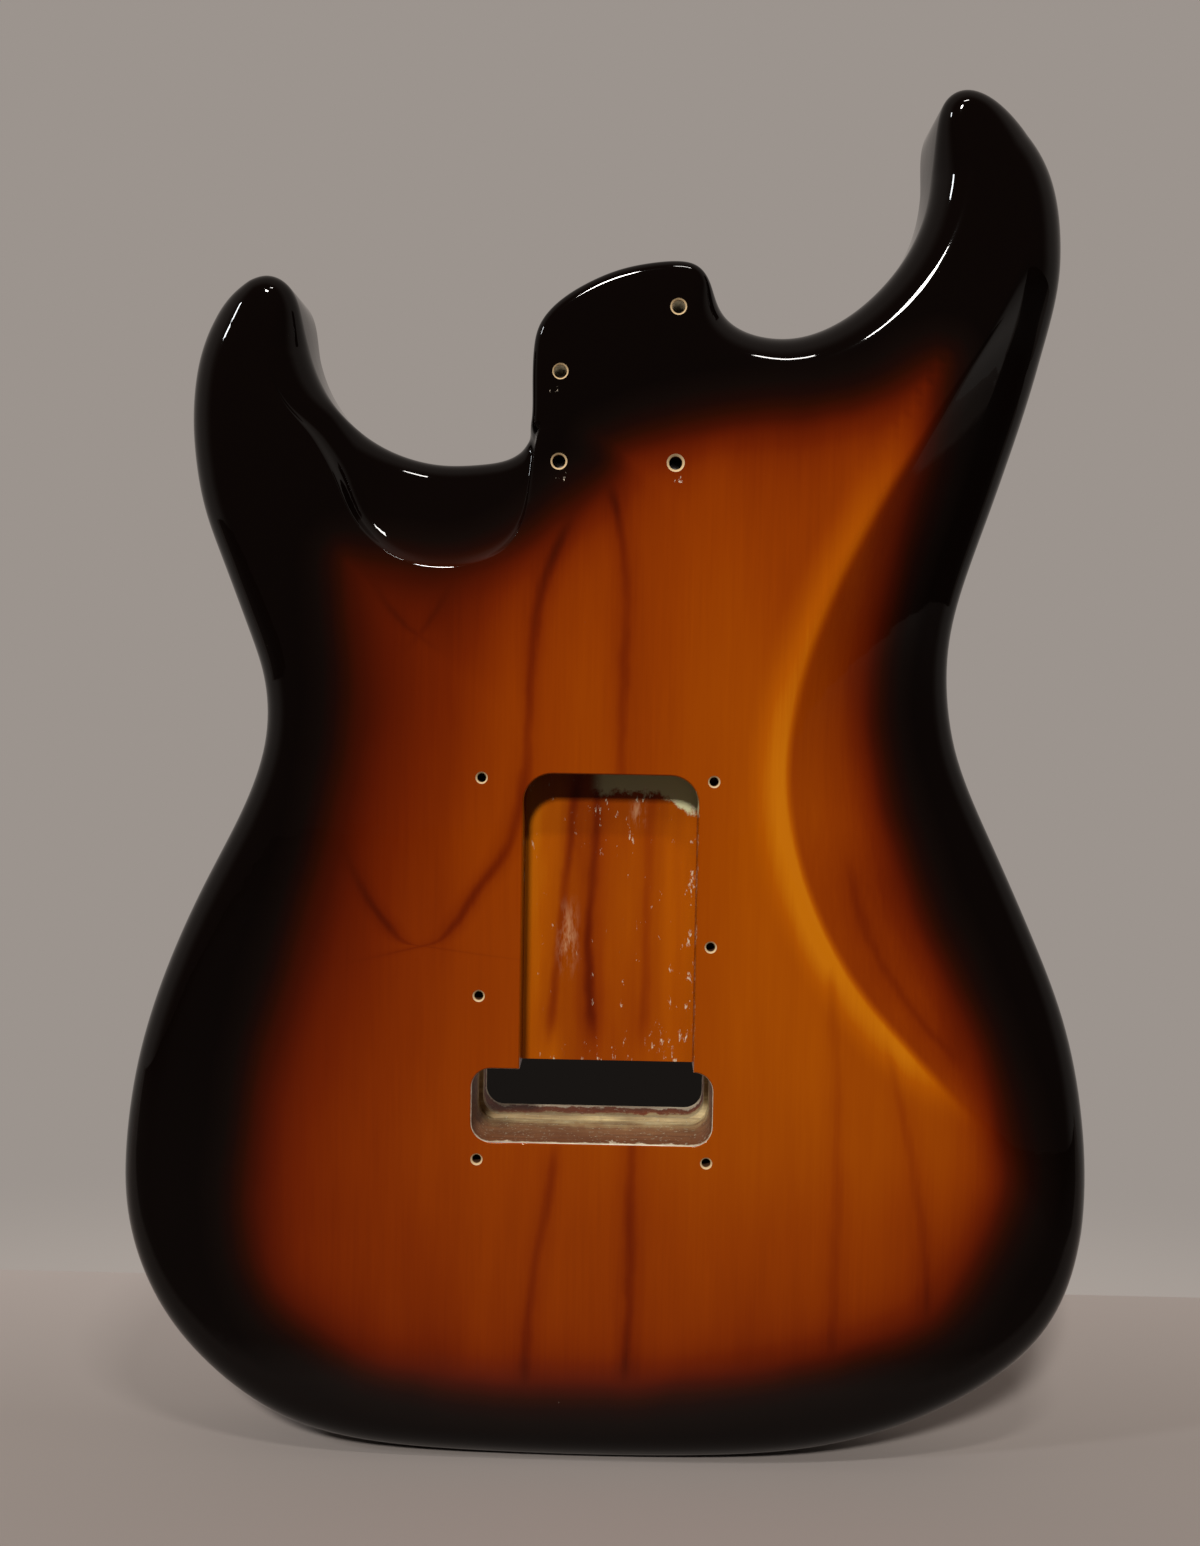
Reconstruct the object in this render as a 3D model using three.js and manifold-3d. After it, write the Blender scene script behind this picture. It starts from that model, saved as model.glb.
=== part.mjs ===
// Electric guitar body with a contoured, double-cutaway outline, made from three edge-glued planks.
// Drawing axes: x towards the bass side, y towards the neck, z out of the back face, in millimetres.
// The origin lies on the floor of the neck pocket, on the centreline. The finished group stands upright:
// +Z runs up along the neck, +X to the bass side, and the back face looks along -Y.

import * as THREE from 'three';
import { mergeVertices } from 'three/addons/utils/BufferGeometryUtils.js';
import Module from 'manifold-3d';

const wasm = await Module();
wasm.setup();

// Overall sizes
const bodyWidth = 324;
const bodyLength = 455;
const bodyThickness = 44.45;
const edgeRadius = 12.7;
const heelEdgeRadius = 3.2;
const scoopEdgeRadius = 8;
const trebleJointShare = -0.565;
const bassJointShare = 0.296;
const cutOverrun = 6;

// Neck joint
const neckPocketWidth = 56;
const neckPocketDepth = 15.85;
const neckPocketEndY = -29.5;
const neckPocketCornerRadius = 3.5;
const heelReach = 50.6;
const pocketMouthFlare = 7;
const pocketMouthRun = 8;
const neckScrewDiameter = 4.3;
const neckScrewRimDiameter = 5.8;
const neckScrewRimDepth = 0.7;
const neckScrewX = 18.9;
const neckScrewY = 14.4;
const bassTopScrewY = 35.5;

// Spring cavity and tremolo slot in the back
const springCavityWidth = 57.5;
const springCavityDepth = 16;
const springCavityTopY = -115.7;
const springCavityCornerRadius = 9.5;
const slotTopY = -213.6;
const slotHeight = 24.5;
const slotWidth = 79.7;
const slotCentreX = -4.65;
const slotCornerRadius = 6.35;
const slotLedgeDepth = 30;
const slotLedgeWidth = 1.4;
const clawScrewDiameter = 3.2;
const clawScrewLength = 32;
const clawScrewX = 16;
const clawScrewDepth = 8;
const coverScrewDiameter = 3;
const coverScrewRimDiameter = 4.4;
const coverScrewRimDepth = 0.6;
const coverScrewDepth = 12;
const trebleCoverScrewX = -42.5;
const bassCoverScrewX = 33.5;
const trebleCoverScrewYs = [-117.4, -189.4, -244];
const bassCoverScrewYs = [-117.4, -171.8, -243.7];

// Tremolo stud bushings in the front
const studSpacing = 56;
const studLineY = -202;
const bushingDiameter = 10;
const bushingLength = 20;
const bushingBoreDiameter = 7;
const bushingBoreDepth = 17;
const bushingClearance = 0.3;
const bushingGrooveDepth = 0.5;
const bushingGrooveStartShare = 0.4;
const bushingGrooveEndShare = 0.55;
const bushingChamfer = 0.6;

// Pickup, control and jack cavities in the front
const pickupRoutLength = 87;
const pickupRoutWidth = 22;
const pickupRoutDepth = 19;
const pickupRoutCornerRadius = 6;
const neckPickupY = -47;
const middlePickupY = -110.5;
const bridgePickupY = -167;
const bridgePickupSlantDegrees = 9;
const controlCavityBackWall = 6.45;
const controlCavityCornerRadius = 9;
const wireChannelWidth = 12;
const wireChannelDepth = 16;
const groundWireHoleDiameter = 5;
const groundWireHoleY = -150;
const jackRecessLength = 56;
const jackRecessWidth = 27;
const jackRecessDepth = 23;
const jackRecessShares = [-0.667, -0.644];
const jackRecessTurnDegrees = -40;
const jackHoleDiameter = 11;
const pickguardScrewDiameter = 2.6;
const pickguardScrewDepth = 9;

// Strap button pilot holes
const strapScrewDiameter = 3.4;
const strapScrewLength = 26;

// Contour cuts
const bellyDepth = 20;
const bellySkew = 0.8;
const bellyFullness = 1.2;
const forearmDepth = 13;
const scoopDepth = 14;
const scoopHollow = 0.8;
const scoopFadeStartShare = 0.5;
const scoopWallRun = 1;

// Fineness
const mergeTolerance = 0.001;
const knotPulls = 8;
const stepsPerSpan = 3;
const roomWindow = 2;
const filletSteps = 4;
const filletWallShare = 0.45;
const filletCreaseShare = 0.9;
const filletRoomShare = 0.85;
const contourRowShares = [0, 0.3, 0.65];
const holeSides = 12;
const smallHoleSides = 8;
const cornerSteps = 4;

const halfWidth = bodyWidth / 2;
const heelHalfWidth = neckPocketWidth / 2;
const backZ = bodyThickness - neckPocketDepth;
const frontZ = -neckPocketDepth;
const trebleJointX = trebleJointShare * halfWidth;
const bassJointX = bassJointShare * halfWidth;
const controlCavityDepth = bodyThickness - controlCavityBackWall;
const slotBottomY = slotTopY - slotHeight;
const slotLeftX = slotCentreX - slotWidth / 2;
const slotRightX = slotCentreX + slotWidth / 2;

// Strap button pilot holes, on the tip of the bass horn and in the middle of the tail
const strapScrewShares = [[0.685, 0.2345], [0, -0.765]];

// Outline, clockwise as seen from the back. Shares are of half the width and of the length.
const trebleBoutShares = [
  [0, -0.765], [-0.235, -0.764], [-0.469, -0.759], [-0.667, -0.741], [-0.827, -0.702], [-0.935, -0.654],
  [-0.993, -0.6], [-1.004, -0.543], [-0.978, -0.473], [-0.919, -0.404], [-0.841, -0.341],
  [-0.765, -0.287], [-0.718, -0.237], [-0.718, -0.193],
];
const trebleHornShares = [
  [-0.752, -0.154], [-0.807, -0.103], [-0.847, -0.062], [-0.866, -0.018], [-0.865, 0.018], [-0.849, 0.048],
  [-0.814, 0.075], [-0.765, 0.0915], [-0.713, 0.099], [-0.67, 0.0925], [-0.648, 0.077], [-0.636, 0.055],
  [-0.614, 0.03],
];
const trebleCutawayShares = [
  [-0.574, 0.007], [-0.519, -0.011], [-0.451, -0.0235], [-0.37, -0.03], [-0.29, -0.0295],
  [-0.225, -0.025], [-0.186, -0.014],
];
const bassCutawayShares = [
  [0.202, 0.081], [0.244, 0.068], [0.306, 0.062], [0.377, 0.064], [0.454, 0.0765], [0.525, 0.098],
  [0.579, 0.124], [0.611, 0.152],
];
const bassHornShares = [
  [0.622, 0.18], [0.625, 0.207], [0.64, 0.227], [0.685, 0.2345], [0.75, 0.2255], [0.812, 0.206],
  [0.857, 0.18], [0.88, 0.148], [0.885, 0.11], [0.872, 0.062], [0.832, 0.001], [0.775, -0.065],
];
const bassBoutShares = [
  [0.722, -0.126], [0.704, -0.18], [0.73, -0.241], [0.804, -0.305], [0.89, -0.374], [0.958, -0.44],
  [0.995, -0.514], [0.993, -0.587], [0.948, -0.646], [0.847, -0.691], [0.676, -0.729], [0.463, -0.754],
  [0.235, -0.763],
];

// The heel follows the neck pocket: shares of half the pocket's width and of the heel's reach.
const heelShares = [
  [-1, 0.01], [-1, 0.22], [-0.99, 0.435], [-0.915, 0.6], [-0.7, 0.74], [-0.38, 0.855], [-0.02, 0.94],
  [0.34, 0.985], [0.66, 1], [0.89, 0.97], [1.04, 0.87],
];

// Creases where a contour cut leaves a flat face, as shares of half the width and of the length.
// The first and last entry of each list only find the ends of the cut along the outline.
const bellyCreaseShares = [
  [0.885, 0.125], [0.73, 0.067], [0.612, 0.003], [0.495, -0.06], [0.41, -0.127], [0.365, -0.195],
  [0.362, -0.264], [0.408, -0.335], [0.497, -0.4], [0.64, -0.46], [0.8, -0.52], [0.99, -0.585],
];
const scoopCreaseShares = [
  [-0.175, -0.003], [-0.164, -0.02], [-0.17, -0.036], [-0.184, -0.071], [-0.215, -0.092],
  [-0.272, -0.104], [-0.351, -0.109], [-0.432, -0.103], [-0.493, -0.089], [-0.545, -0.066],
  [-0.58, -0.036], [-0.605, -0.006], [-0.625, 0.045],
];
const forearmCreaseShares = [
  [0.72, -0.235], [0.62, -0.3], [0.555, -0.38], [0.51, -0.46], [0.47, -0.54], [0.43, -0.62],
  [0.38, -0.69], [0.3, -0.762],
];
const controlCavityShares = [
  [-0.37, -0.272], [-0.55, -0.272], [-0.7, -0.375], [-0.812, -0.49], [-0.805, -0.572],
  [-0.67, -0.584], [-0.52, -0.505], [-0.39, -0.4],
];
const pickguardScrewShares = [
  [0.4, 0.02], [0.57, -0.02], [0.48, -0.15], [0.42, -0.25], [0.37, -0.33], [-0.42, -0.07],
  [-0.62, -0.03], [-0.62, -0.2], [-0.79, -0.34], [-0.88, -0.53], [-0.5, -0.55],
];

// Control points, each with the edge radius wanted there.
function place(shares, width, height, radius) {
  return shares.map(([x, y]) => ({ x: x * width, y: y * height, radius }));
}

const controls = [
  ...place(trebleBoutShares, halfWidth, bodyLength, edgeRadius),
  ...place(trebleHornShares, halfWidth, bodyLength, edgeRadius),
  ...place(trebleCutawayShares, halfWidth, bodyLength, edgeRadius),
  ...place(heelShares, heelHalfWidth, heelReach, heelEdgeRadius),
  ...place(bassCutawayShares, halfWidth, bodyLength, edgeRadius),
  ...place(bassHornShares, halfWidth, bodyLength, edgeRadius),
  ...place(bassBoutShares, halfWidth, bodyLength, edgeRadius),
];

// Smooth closed curve: a uniform cubic B-spline whose knots are pulled until it meets the control points.
function pullKnots(values) {
  const count = values.length;
  let knots = values.slice();
  for (let pull = 0; pull < knotPulls; pull += 1) {
    knots = knots.map((knot, i) => {
      const before = knots[(i + count - 1) % count];
      const after = knots[(i + 1) % count];
      return knot + values[i] - (before + 4 * knot + after) / 6;
    });
  }
  return knots;
}

function splineAt(knots, index, t) {
  const count = knots.length;
  const weights = [
    (1 - t) ** 3,
    3 * t ** 3 - 6 * t ** 2 + 4,
    -3 * t ** 3 + 3 * t ** 2 + 3 * t + 1,
    t ** 3,
  ];
  return weights.reduce((sum, weight, k) => sum + weight * knots[(index + k + count - 1) % count], 0) / 6;
}

function sampleOutline() {
  const xs = pullKnots(controls.map((point) => point.x));
  const ys = pullKnots(controls.map((point) => point.y));
  const radii = controls.map((point) => point.radius);
  const samples = [];
  for (let index = 0; index < controls.length; index += 1) {
    for (let step = 0; step < stepsPerSpan; step += 1) {
      const t = step / stepsPerSpan;
      samples.push({
        point: new THREE.Vector2(splineAt(xs, index, t), splineAt(ys, index, t)),
        radius: splineAt(radii, index, t),
      });
    }
  }
  return samples;
}

// Radius of the largest circle that lies inside the outline and touches it at a sample.
function roomAt(samples, sample) {
  return samples.reduce((room, other) => {
    const reach = other.point.clone().sub(sample.point);
    const facing = reach.dot(sample.inward);
    return facing > 0 ? Math.min(room, reach.lengthSq() / (2 * facing)) : room;
  }, Infinity);
}

// Inward direction of the outline at each sample, and the edge radius that its room allows.
function measureOutline(samples) {
  const count = samples.length;
  samples.forEach((sample, i) => {
    const along = samples[(i + 1) % count].point.clone().sub(samples[(i + count - 1) % count].point);
    sample.inward = new THREE.Vector2(along.y, -along.x).normalize();
  });
  samples.forEach((sample) => {
    sample.room = roomAt(samples, sample);
  });
  samples.forEach((sample, i) => {
    for (let near = -roomWindow; near <= roomWindow; near += 1) {
      const { room } = samples[(i + near + count) % count];
      sample.radius = Math.min(sample.radius, room * filletRoomShare);
    }
    sample.backDepth = 0;
    sample.frontDepth = 0;
  });
}

function nearestSample(samples, [xShare, yShare]) {
  const target = new THREE.Vector2(xShare * halfWidth, yShare * bodyLength);
  let best = 0;
  samples.forEach((sample, i) => {
    if (sample.point.distanceTo(target) < samples[best].point.distanceTo(target)) best = i;
  });
  return best;
}

// Stretch of the outline under a contour cut, with each sample's partner on the crease.
function contourRun(samples, creaseShares, step) {
  const count = samples.length;
  const first = nearestSample(samples, creaseShares[0]);
  const last = nearestSample(samples, creaseShares[creaseShares.length - 1]);
  const length = (((last - first) * step + count) % count);
  const inset = (sample) => sample.point.clone().addScaledVector(sample.inward, sample.radius);
  const inner = creaseShares.slice(1, -1).map(([x, y]) => new THREE.Vector2(x * halfWidth, y * bodyLength));
  const crease = new THREE.SplineCurve([inset(samples[first]), ...inner, inset(samples[last])]);
  const run = [];
  for (let k = 0; k <= length; k += 1) {
    const along = k / length;
    const sample = samples[(first + step * k + count * length) % count];
    run.push({ sample, along, crease: crease.getPointAt(along) });
  }
  return run;
}

const outline = sampleOutline();
measureOutline(outline);

// Belly cut on the back, deepest at the bass waist.
contourRun(outline, bellyCreaseShares, 1).forEach(({ sample, along, crease }) => {
  sample.backDepth = bellyDepth * Math.sin(Math.PI * along ** bellySkew) ** bellyFullness;
  sample.backCrease = crease;
  sample.backShape = (share) => sample.backDepth * share;
});

// Scoop on the back of the treble cutaway. It ends in a wall along the heel and fades out on the horn.
const scoopRun = contourRun(outline, scoopCreaseShares, -1);
const scoopFloorY = Math.min(...scoopRun.map(({ crease }) => crease.y));
scoopRun.forEach(({ sample, along, crease }) => {
  const fade = 1 - THREE.MathUtils.smoothstep(along, scoopFadeStartShare, 1);
  const entered = along > 0 ? 1 : 0;
  sample.backDepth = scoopDepth * fade * entered;
  sample.backCrease = crease;
  sample.scooped = true;
  sample.radius = THREE.MathUtils.lerp(sample.radius, scoopEdgeRadius, fade);
  sample.backShape = (share, point) => {
    const rise = (point.y - scoopFloorY) / (sample.point.y - scoopFloorY);
    return sample.backDepth * THREE.MathUtils.clamp(rise, 0, 1) ** scoopHollow;
  };
});

// Forearm contour on the front, along the bass bout.
contourRun(outline, forearmCreaseShares, 1).forEach(({ sample, along, crease }) => {
  sample.frontDepth = forearmDepth * Math.sin(Math.PI * along);
  sample.frontCrease = crease;
  sample.frontShape = (share) => sample.frontDepth * share;
});

// Half a column of points across one face and its edge, from the crease to the middle of the wall.
function halfColumn(sample, side) {
  const depth = side > 0 ? sample.backDepth : sample.frontDepth;
  const faceZ = side > 0 ? backZ : frontZ;
  const creasePoint = side > 0 ? sample.backCrease : sample.frontCrease;
  const shape = side > 0 ? sample.backShape : sample.frontShape;
  const wall = (bodyThickness - sample.backDepth - sample.frontDepth) * filletWallShare;
  const towards = creasePoint ? creasePoint.clone().sub(sample.point) : sample.inward.clone();
  const room = creasePoint ? towards.length() * filletCreaseShare : Infinity;
  const direction = side > 0 && sample.scooped ? towards.normalize() : sample.inward;
  const radius = Math.min(sample.radius, wall, depth > 0 ? room : Infinity);
  const inner = sample.point.clone().addScaledVector(direction, radius);
  const column = [];
  const add = (point, below) => column.push(new THREE.Vector3(point.x, point.y, faceZ - side * below));
  const crease = creasePoint && depth > 0 ? creasePoint : inner;
  add(crease, 0);
  contourRowShares.forEach((share, row) => {
    const reach = Math.max(inner.distanceTo(crease), Number.EPSILON);
    const start = row === 0 ? Math.min(scoopWallRun / reach, filletWallShare) : share;
    const point = crease.clone().lerp(inner, depth > 0 ? start : 1);
    add(point, depth > 0 ? shape(start, point) : 0);
  });
  for (let step = 0; step <= filletSteps; step += 1) {
    const angle = (Math.PI / 2) * (step / filletSteps);
    const point = inner.clone().addScaledVector(direction, -radius * Math.sin(angle));
    add(point, depth + radius * (1 - Math.cos(angle)));
  }
  return column;
}

// Closed mesh of the whole body before any cavity is cut.
function blankGeometry() {
  const columns = outline.map((sample) => [...halfColumn(sample, 1), ...halfColumn(sample, -1).reverse()]);
  const rows = columns[0].length;
  const count = columns.length;
  const positions = columns.flat().flatMap((point) => [point.x, point.y, point.z]);
  const triangles = [];
  for (let i = 0; i < count; i += 1) {
    const next = (i + 1) % count;
    for (let j = 0; j < rows - 1; j += 1) {
      triangles.push([i * rows + j, next * rows + j, next * rows + j + 1]);
      triangles.push([i * rows + j, next * rows + j + 1, i * rows + j + 1]);
    }
  }
  [0, rows - 1].forEach((row) => {
    const loop = columns.map((column) => new THREE.Vector2(column[row].x, column[row].y));
    THREE.ShapeUtils.triangulateShape(loop, []).forEach(([a, b, c]) => {
      const turn = loop[b].clone().sub(loop[a]).cross(loop[c].clone().sub(loop[a]));
      const wanted = row === 0 ? turn > 0 : turn < 0;
      const face = wanted ? [a, b, c] : [a, c, b];
      triangles.push(face.map((i) => i * rows + row));
    });
  });
  const geometry = new THREE.BufferGeometry();
  geometry.setAttribute('position', new THREE.Float32BufferAttribute(positions, 3));
  geometry.setIndex(triangles.flat());
  return geometry;
}

// Closed solid from a geometry, with its shared points merged and its collapsed triangles left out.
function toSolid(geometry) {
  const bare = geometry.clone();
  bare.deleteAttribute('normal');
  bare.deleteAttribute('uv');
  const merged = mergeVertices(bare, mergeTolerance);
  const corners = Array.from(merged.index.array);
  const kept = [];
  for (let i = 0; i < corners.length; i += 3) {
    const [a, b, c] = corners.slice(i, i + 3);
    if (a !== b && b !== c && c !== a) kept.push(a, b, c);
  }
  const vertProperties = new Float32Array(merged.attributes.position.array);
  const mesh = new wasm.Mesh({ numProp: 3, vertProperties, triVerts: new Uint32Array(kept) });
  return new wasm.Manifold(mesh);
}

function toGeometry(solid) {
  const mesh = solid.getMesh();
  const geometry = new THREE.BufferGeometry();
  geometry.setAttribute('position', new THREE.BufferAttribute(new Float32Array(mesh.vertProperties), 3));
  geometry.setIndex(new THREE.BufferAttribute(new Uint32Array(mesh.triVerts), 1));
  geometry.computeVertexNormals();
  return geometry;
}

// Closed outline with rounded corners.
function roundedShape(points, radius) {
  const shape = new THREE.Shape();
  points.forEach((corner, i) => {
    const before = points[(i + points.length - 1) % points.length];
    const after = points[(i + 1) % points.length];
    const back = before.clone().sub(corner);
    const ahead = after.clone().sub(corner);
    const halfAngle = Math.abs(back.angleTo(ahead)) / 2;
    const longest = Math.min(back.length(), ahead.length()) * filletWallShare;
    const run = Math.min(radius / Math.tan(halfAngle), longest);
    const start = corner.clone().addScaledVector(back.normalize(), run);
    const end = corner.clone().addScaledVector(ahead.normalize(), run);
    const bulge = (4 / 3) * Math.tan((Math.PI / 2 - halfAngle) / 2) * Math.tan(halfAngle);
    const first = start.clone().lerp(corner, bulge);
    const second = end.clone().lerp(corner, bulge);
    if (i === 0) shape.moveTo(start.x, start.y);
    else shape.lineTo(start.x, start.y);
    shape.bezierCurveTo(first.x, first.y, second.x, second.y, end.x, end.y);
  });
  shape.closePath();
  return shape;
}

function rectangle(left, bottom, right, top) {
  return [
    new THREE.Vector2(left, bottom),
    new THREE.Vector2(right, bottom),
    new THREE.Vector2(right, top),
    new THREE.Vector2(left, top),
  ];
}

// Straight-sided cutter between two heights.
function cutter(shape, lowZ, highZ) {
  const options = { depth: highZ - lowZ, bevelEnabled: false, curveSegments: cornerSteps };
  return toSolid(new THREE.ExtrudeGeometry(shape, options).translate(0, 0, lowZ));
}

// Round cutter between two points. Its ends can differ in diameter.
function drill(from, to, startDiameter, endDiameter, sides) {
  const span = to.clone().sub(from);
  const geometry = new THREE.CylinderGeometry(endDiameter / 2, startDiameter / 2, span.length(), sides);
  const turn = new THREE.Quaternion();
  turn.setFromUnitVectors(new THREE.Vector3(0, 1, 0), span.clone().normalize());
  geometry.applyQuaternion(turn);
  geometry.translate((from.x + to.x) / 2, (from.y + to.y) / 2, (from.z + to.z) / 2);
  return toSolid(geometry);
}

// Cut that starts outside a face and ends a given depth below it. Side is 1 on the back, -1 on the front.
function faceCut(shape, side, depth) {
  const faceZ = side > 0 ? backZ : frontZ;
  const inside = faceZ - side * depth;
  const outside = faceZ + side * cutOverrun;
  return cutter(shape, Math.min(inside, outside), Math.max(inside, outside));
}

function faceHole(x, y, side, depth, diameter, sides) {
  const faceZ = side > 0 ? backZ : frontZ;
  const outside = new THREE.Vector3(x, y, faceZ + side * cutOverrun);
  const inside = new THREE.Vector3(x, y, faceZ - side * depth);
  return drill(outside, inside, diameter, diameter, sides);
}

// Pale ring where the lacquer is broken away round a hole in the back.
function rimCut(x, y, holeDiameter, rimDiameter, rimDepth, sides) {
  const slope = (rimDiameter - holeDiameter) / rimDepth;
  const outside = new THREE.Vector3(x, y, backZ + rimDepth);
  const inside = new THREE.Vector3(x, y, backZ - rimDepth);
  return drill(outside, inside, holeDiameter + 2 * rimDepth * slope, holeDiameter, sides);
}

function neckJointCuts() {
  const mouthY = heelReach + cutOverrun;
  const shape = roundedShape([
    [-heelHalfWidth, neckPocketEndY],
    [heelHalfWidth, neckPocketEndY],
    [heelHalfWidth, heelReach - 2 * pocketMouthRun],
    [heelHalfWidth + pocketMouthFlare, heelReach - pocketMouthRun],
    [heelHalfWidth + pocketMouthFlare, mouthY],
    [-heelHalfWidth - pocketMouthFlare, mouthY],
    [-heelHalfWidth - pocketMouthFlare, -neckPocketCornerRadius],
    [-heelHalfWidth, -neckPocketCornerRadius - pocketMouthRun],
  ].map(([x, y]) => new THREE.Vector2(x, y)), neckPocketCornerRadius);
  const cuts = [cutter(shape, frontZ - cutOverrun, 0)];
  const screws = [[-neckScrewX, neckScrewY], [neckScrewX, bassTopScrewY], [-neckScrewX, -neckScrewY],
    [neckScrewX, -neckScrewY]];
  screws.forEach(([x, y]) => {
    cuts.push(faceHole(x, y, 1, bodyThickness, neckScrewDiameter, holeSides));
    cuts.push(rimCut(x, y, neckScrewDiameter, neckScrewRimDiameter, neckScrewRimDepth, holeSides));
  });
  return cuts;
}

function tremoloCuts() {
  const half = springCavityWidth / 2;
  const cavity = roundedShape(
    rectangle(-half, slotBottomY + slotCornerRadius, half, springCavityTopY),
    springCavityCornerRadius,
  );
  const slot = roundedShape(rectangle(slotLeftX, slotBottomY, slotRightX, slotTopY), slotCornerRadius);
  const ledge = roundedShape(
    rectangle(
      slotLeftX + slotLedgeWidth,
      slotBottomY + slotLedgeWidth,
      slotRightX - slotLedgeWidth,
      slotTopY - slotLedgeWidth,
    ),
    slotCornerRadius,
  );
  const link = rectangle(-half, slotTopY - slotHeight / 2, half, slotTopY + springCavityCornerRadius);
  const cuts = [
    faceCut(cavity, 1, springCavityDepth),
    faceCut(new THREE.Shape(link), 1, springCavityDepth),
    faceCut(slot, 1, slotLedgeDepth),
    faceCut(ledge, 1, bodyThickness + cutOverrun),
  ];
  [-clawScrewX, clawScrewX].forEach((x) => {
    const z = backZ - clawScrewDepth;
    const start = new THREE.Vector3(x, springCavityTopY - cutOverrun, z);
    const end = new THREE.Vector3(x, springCavityTopY + clawScrewLength, z);
    cuts.push(drill(start, end, clawScrewDiameter, clawScrewDiameter, smallHoleSides));
  });
  const coverScrews = [
    ...trebleCoverScrewYs.map((y) => [trebleCoverScrewX, y]),
    ...bassCoverScrewYs.map((y) => [bassCoverScrewX, y]),
  ];
  coverScrews.forEach(([x, y]) => {
    cuts.push(faceHole(x, y, 1, coverScrewDepth, coverScrewDiameter, smallHoleSides));
    cuts.push(rimCut(x, y, coverScrewDiameter, coverScrewRimDiameter, coverScrewRimDepth, smallHoleSides));
  });
  [-studSpacing / 2, studSpacing / 2].forEach((x) => {
    const diameter = bushingDiameter + 2 * bushingClearance;
    cuts.push(faceHole(x, studLineY, -1, bushingLength, diameter, 2 * holeSides));
  });
  return cuts;
}

function pickupShape(y, slantDegrees) {
  const length = pickupRoutLength / 2;
  const width = pickupRoutWidth / 2;
  const centre = new THREE.Vector2(0, 0);
  const turn = THREE.MathUtils.degToRad(slantDegrees);
  const corners = rectangle(-length, -width, length, width);
  corners.forEach((corner) => corner.rotateAround(centre, turn).add(new THREE.Vector2(0, y)));
  return roundedShape(corners, pickupRoutCornerRadius);
}

// Channel of even width between two points, with round ends.
function channelShape(start, end, width) {
  const along = end.clone().sub(start).normalize().multiplyScalar(width / 2);
  const across = new THREE.Vector2(-along.y, along.x);
  const corners = [
    start.clone().sub(along).sub(across),
    end.clone().add(along).sub(across),
    end.clone().add(along).add(across),
    start.clone().sub(along).add(across),
  ];
  return roundedShape(corners, width / 2);
}

const controlCavity = controlCavityShares.map(([x, y]) => new THREE.Vector2(x * halfWidth, y * bodyLength));

function electronicsCuts() {
  const wireX = pickupRoutLength / 2 - wireChannelWidth;
  const hookUp = new THREE.Vector2(-wireX, middlePickupY);
  const cavityTop = controlCavity[0].clone().lerp(controlCavity[1], 1 / 2);
  cavityTop.y -= wireChannelWidth;
  const cuts = [
    faceCut(pickupShape(neckPickupY, 0), -1, pickupRoutDepth),
    faceCut(pickupShape(middlePickupY, 0), -1, pickupRoutDepth),
    faceCut(pickupShape(bridgePickupY, bridgePickupSlantDegrees), -1, pickupRoutDepth),
    faceCut(roundedShape(controlCavity, controlCavityCornerRadius), -1, controlCavityDepth),
    faceCut(
      channelShape(
        new THREE.Vector2(wireX, neckPickupY),
        new THREE.Vector2(wireX, bridgePickupY),
        wireChannelWidth,
      ),
      -1,
      wireChannelDepth,
    ),
    faceCut(channelShape(hookUp, cavityTop, wireChannelWidth), -1, wireChannelDepth),
  ];
  const groundZ = backZ - springCavityDepth + groundWireHoleDiameter;
  cuts.push(drill(
    new THREE.Vector3(0, groundWireHoleY, groundZ),
    new THREE.Vector3(controlCavity[1].x, groundWireHoleY, groundZ),
    groundWireHoleDiameter,
    groundWireHoleDiameter,
    smallHoleSides,
  ));
  return cuts;
}

function jackCuts() {
  const [xShare, yShare] = jackRecessShares;
  const centre = new THREE.Vector2(xShare * halfWidth, yShare * bodyLength);
  const turn = THREE.MathUtils.degToRad(jackRecessTurnDegrees);
  const reach = new THREE.Vector2(Math.cos(turn), Math.sin(turn));
  reach.multiplyScalar((jackRecessLength - jackRecessWidth) / 2);
  const shape = channelShape(centre.clone().sub(reach), centre.clone().add(reach), jackRecessWidth);
  const holeZ = frontZ + jackRecessDepth - jackHoleDiameter / 2;
  const cavityFoot = controlCavity[4].clone().lerp(controlCavity[5], 1 / 2);
  cavityFoot.y += jackHoleDiameter;
  const start = new THREE.Vector3(centre.x, centre.y, holeZ);
  const end = new THREE.Vector3(cavityFoot.x, cavityFoot.y, holeZ);
  return [
    faceCut(shape, -1, jackRecessDepth),
    drill(start, end, jackHoleDiameter, jackHoleDiameter, holeSides),
  ];
}

function pickguardCuts() {
  return pickguardScrewShares.map(([xShare, yShare]) => faceHole(
    xShare * halfWidth,
    yShare * bodyLength,
    -1,
    pickguardScrewDepth,
    pickguardScrewDiameter,
    smallHoleSides,
  ));
}

function strapCuts() {
  const z = backZ - bodyThickness / 2;
  return strapScrewShares.map((shares) => {
    const sample = outline[nearestSample(outline, shares)];
    const outside = sample.point.clone().addScaledVector(sample.inward, -cutOverrun);
    const inside = sample.point.clone().addScaledVector(sample.inward, strapScrewLength);
    const start = new THREE.Vector3(outside.x, outside.y, z);
    const end = new THREE.Vector3(inside.x, inside.y, z);
    return drill(start, end, strapScrewDiameter, strapScrewDiameter, smallHoleSides);
  });
}

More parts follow.
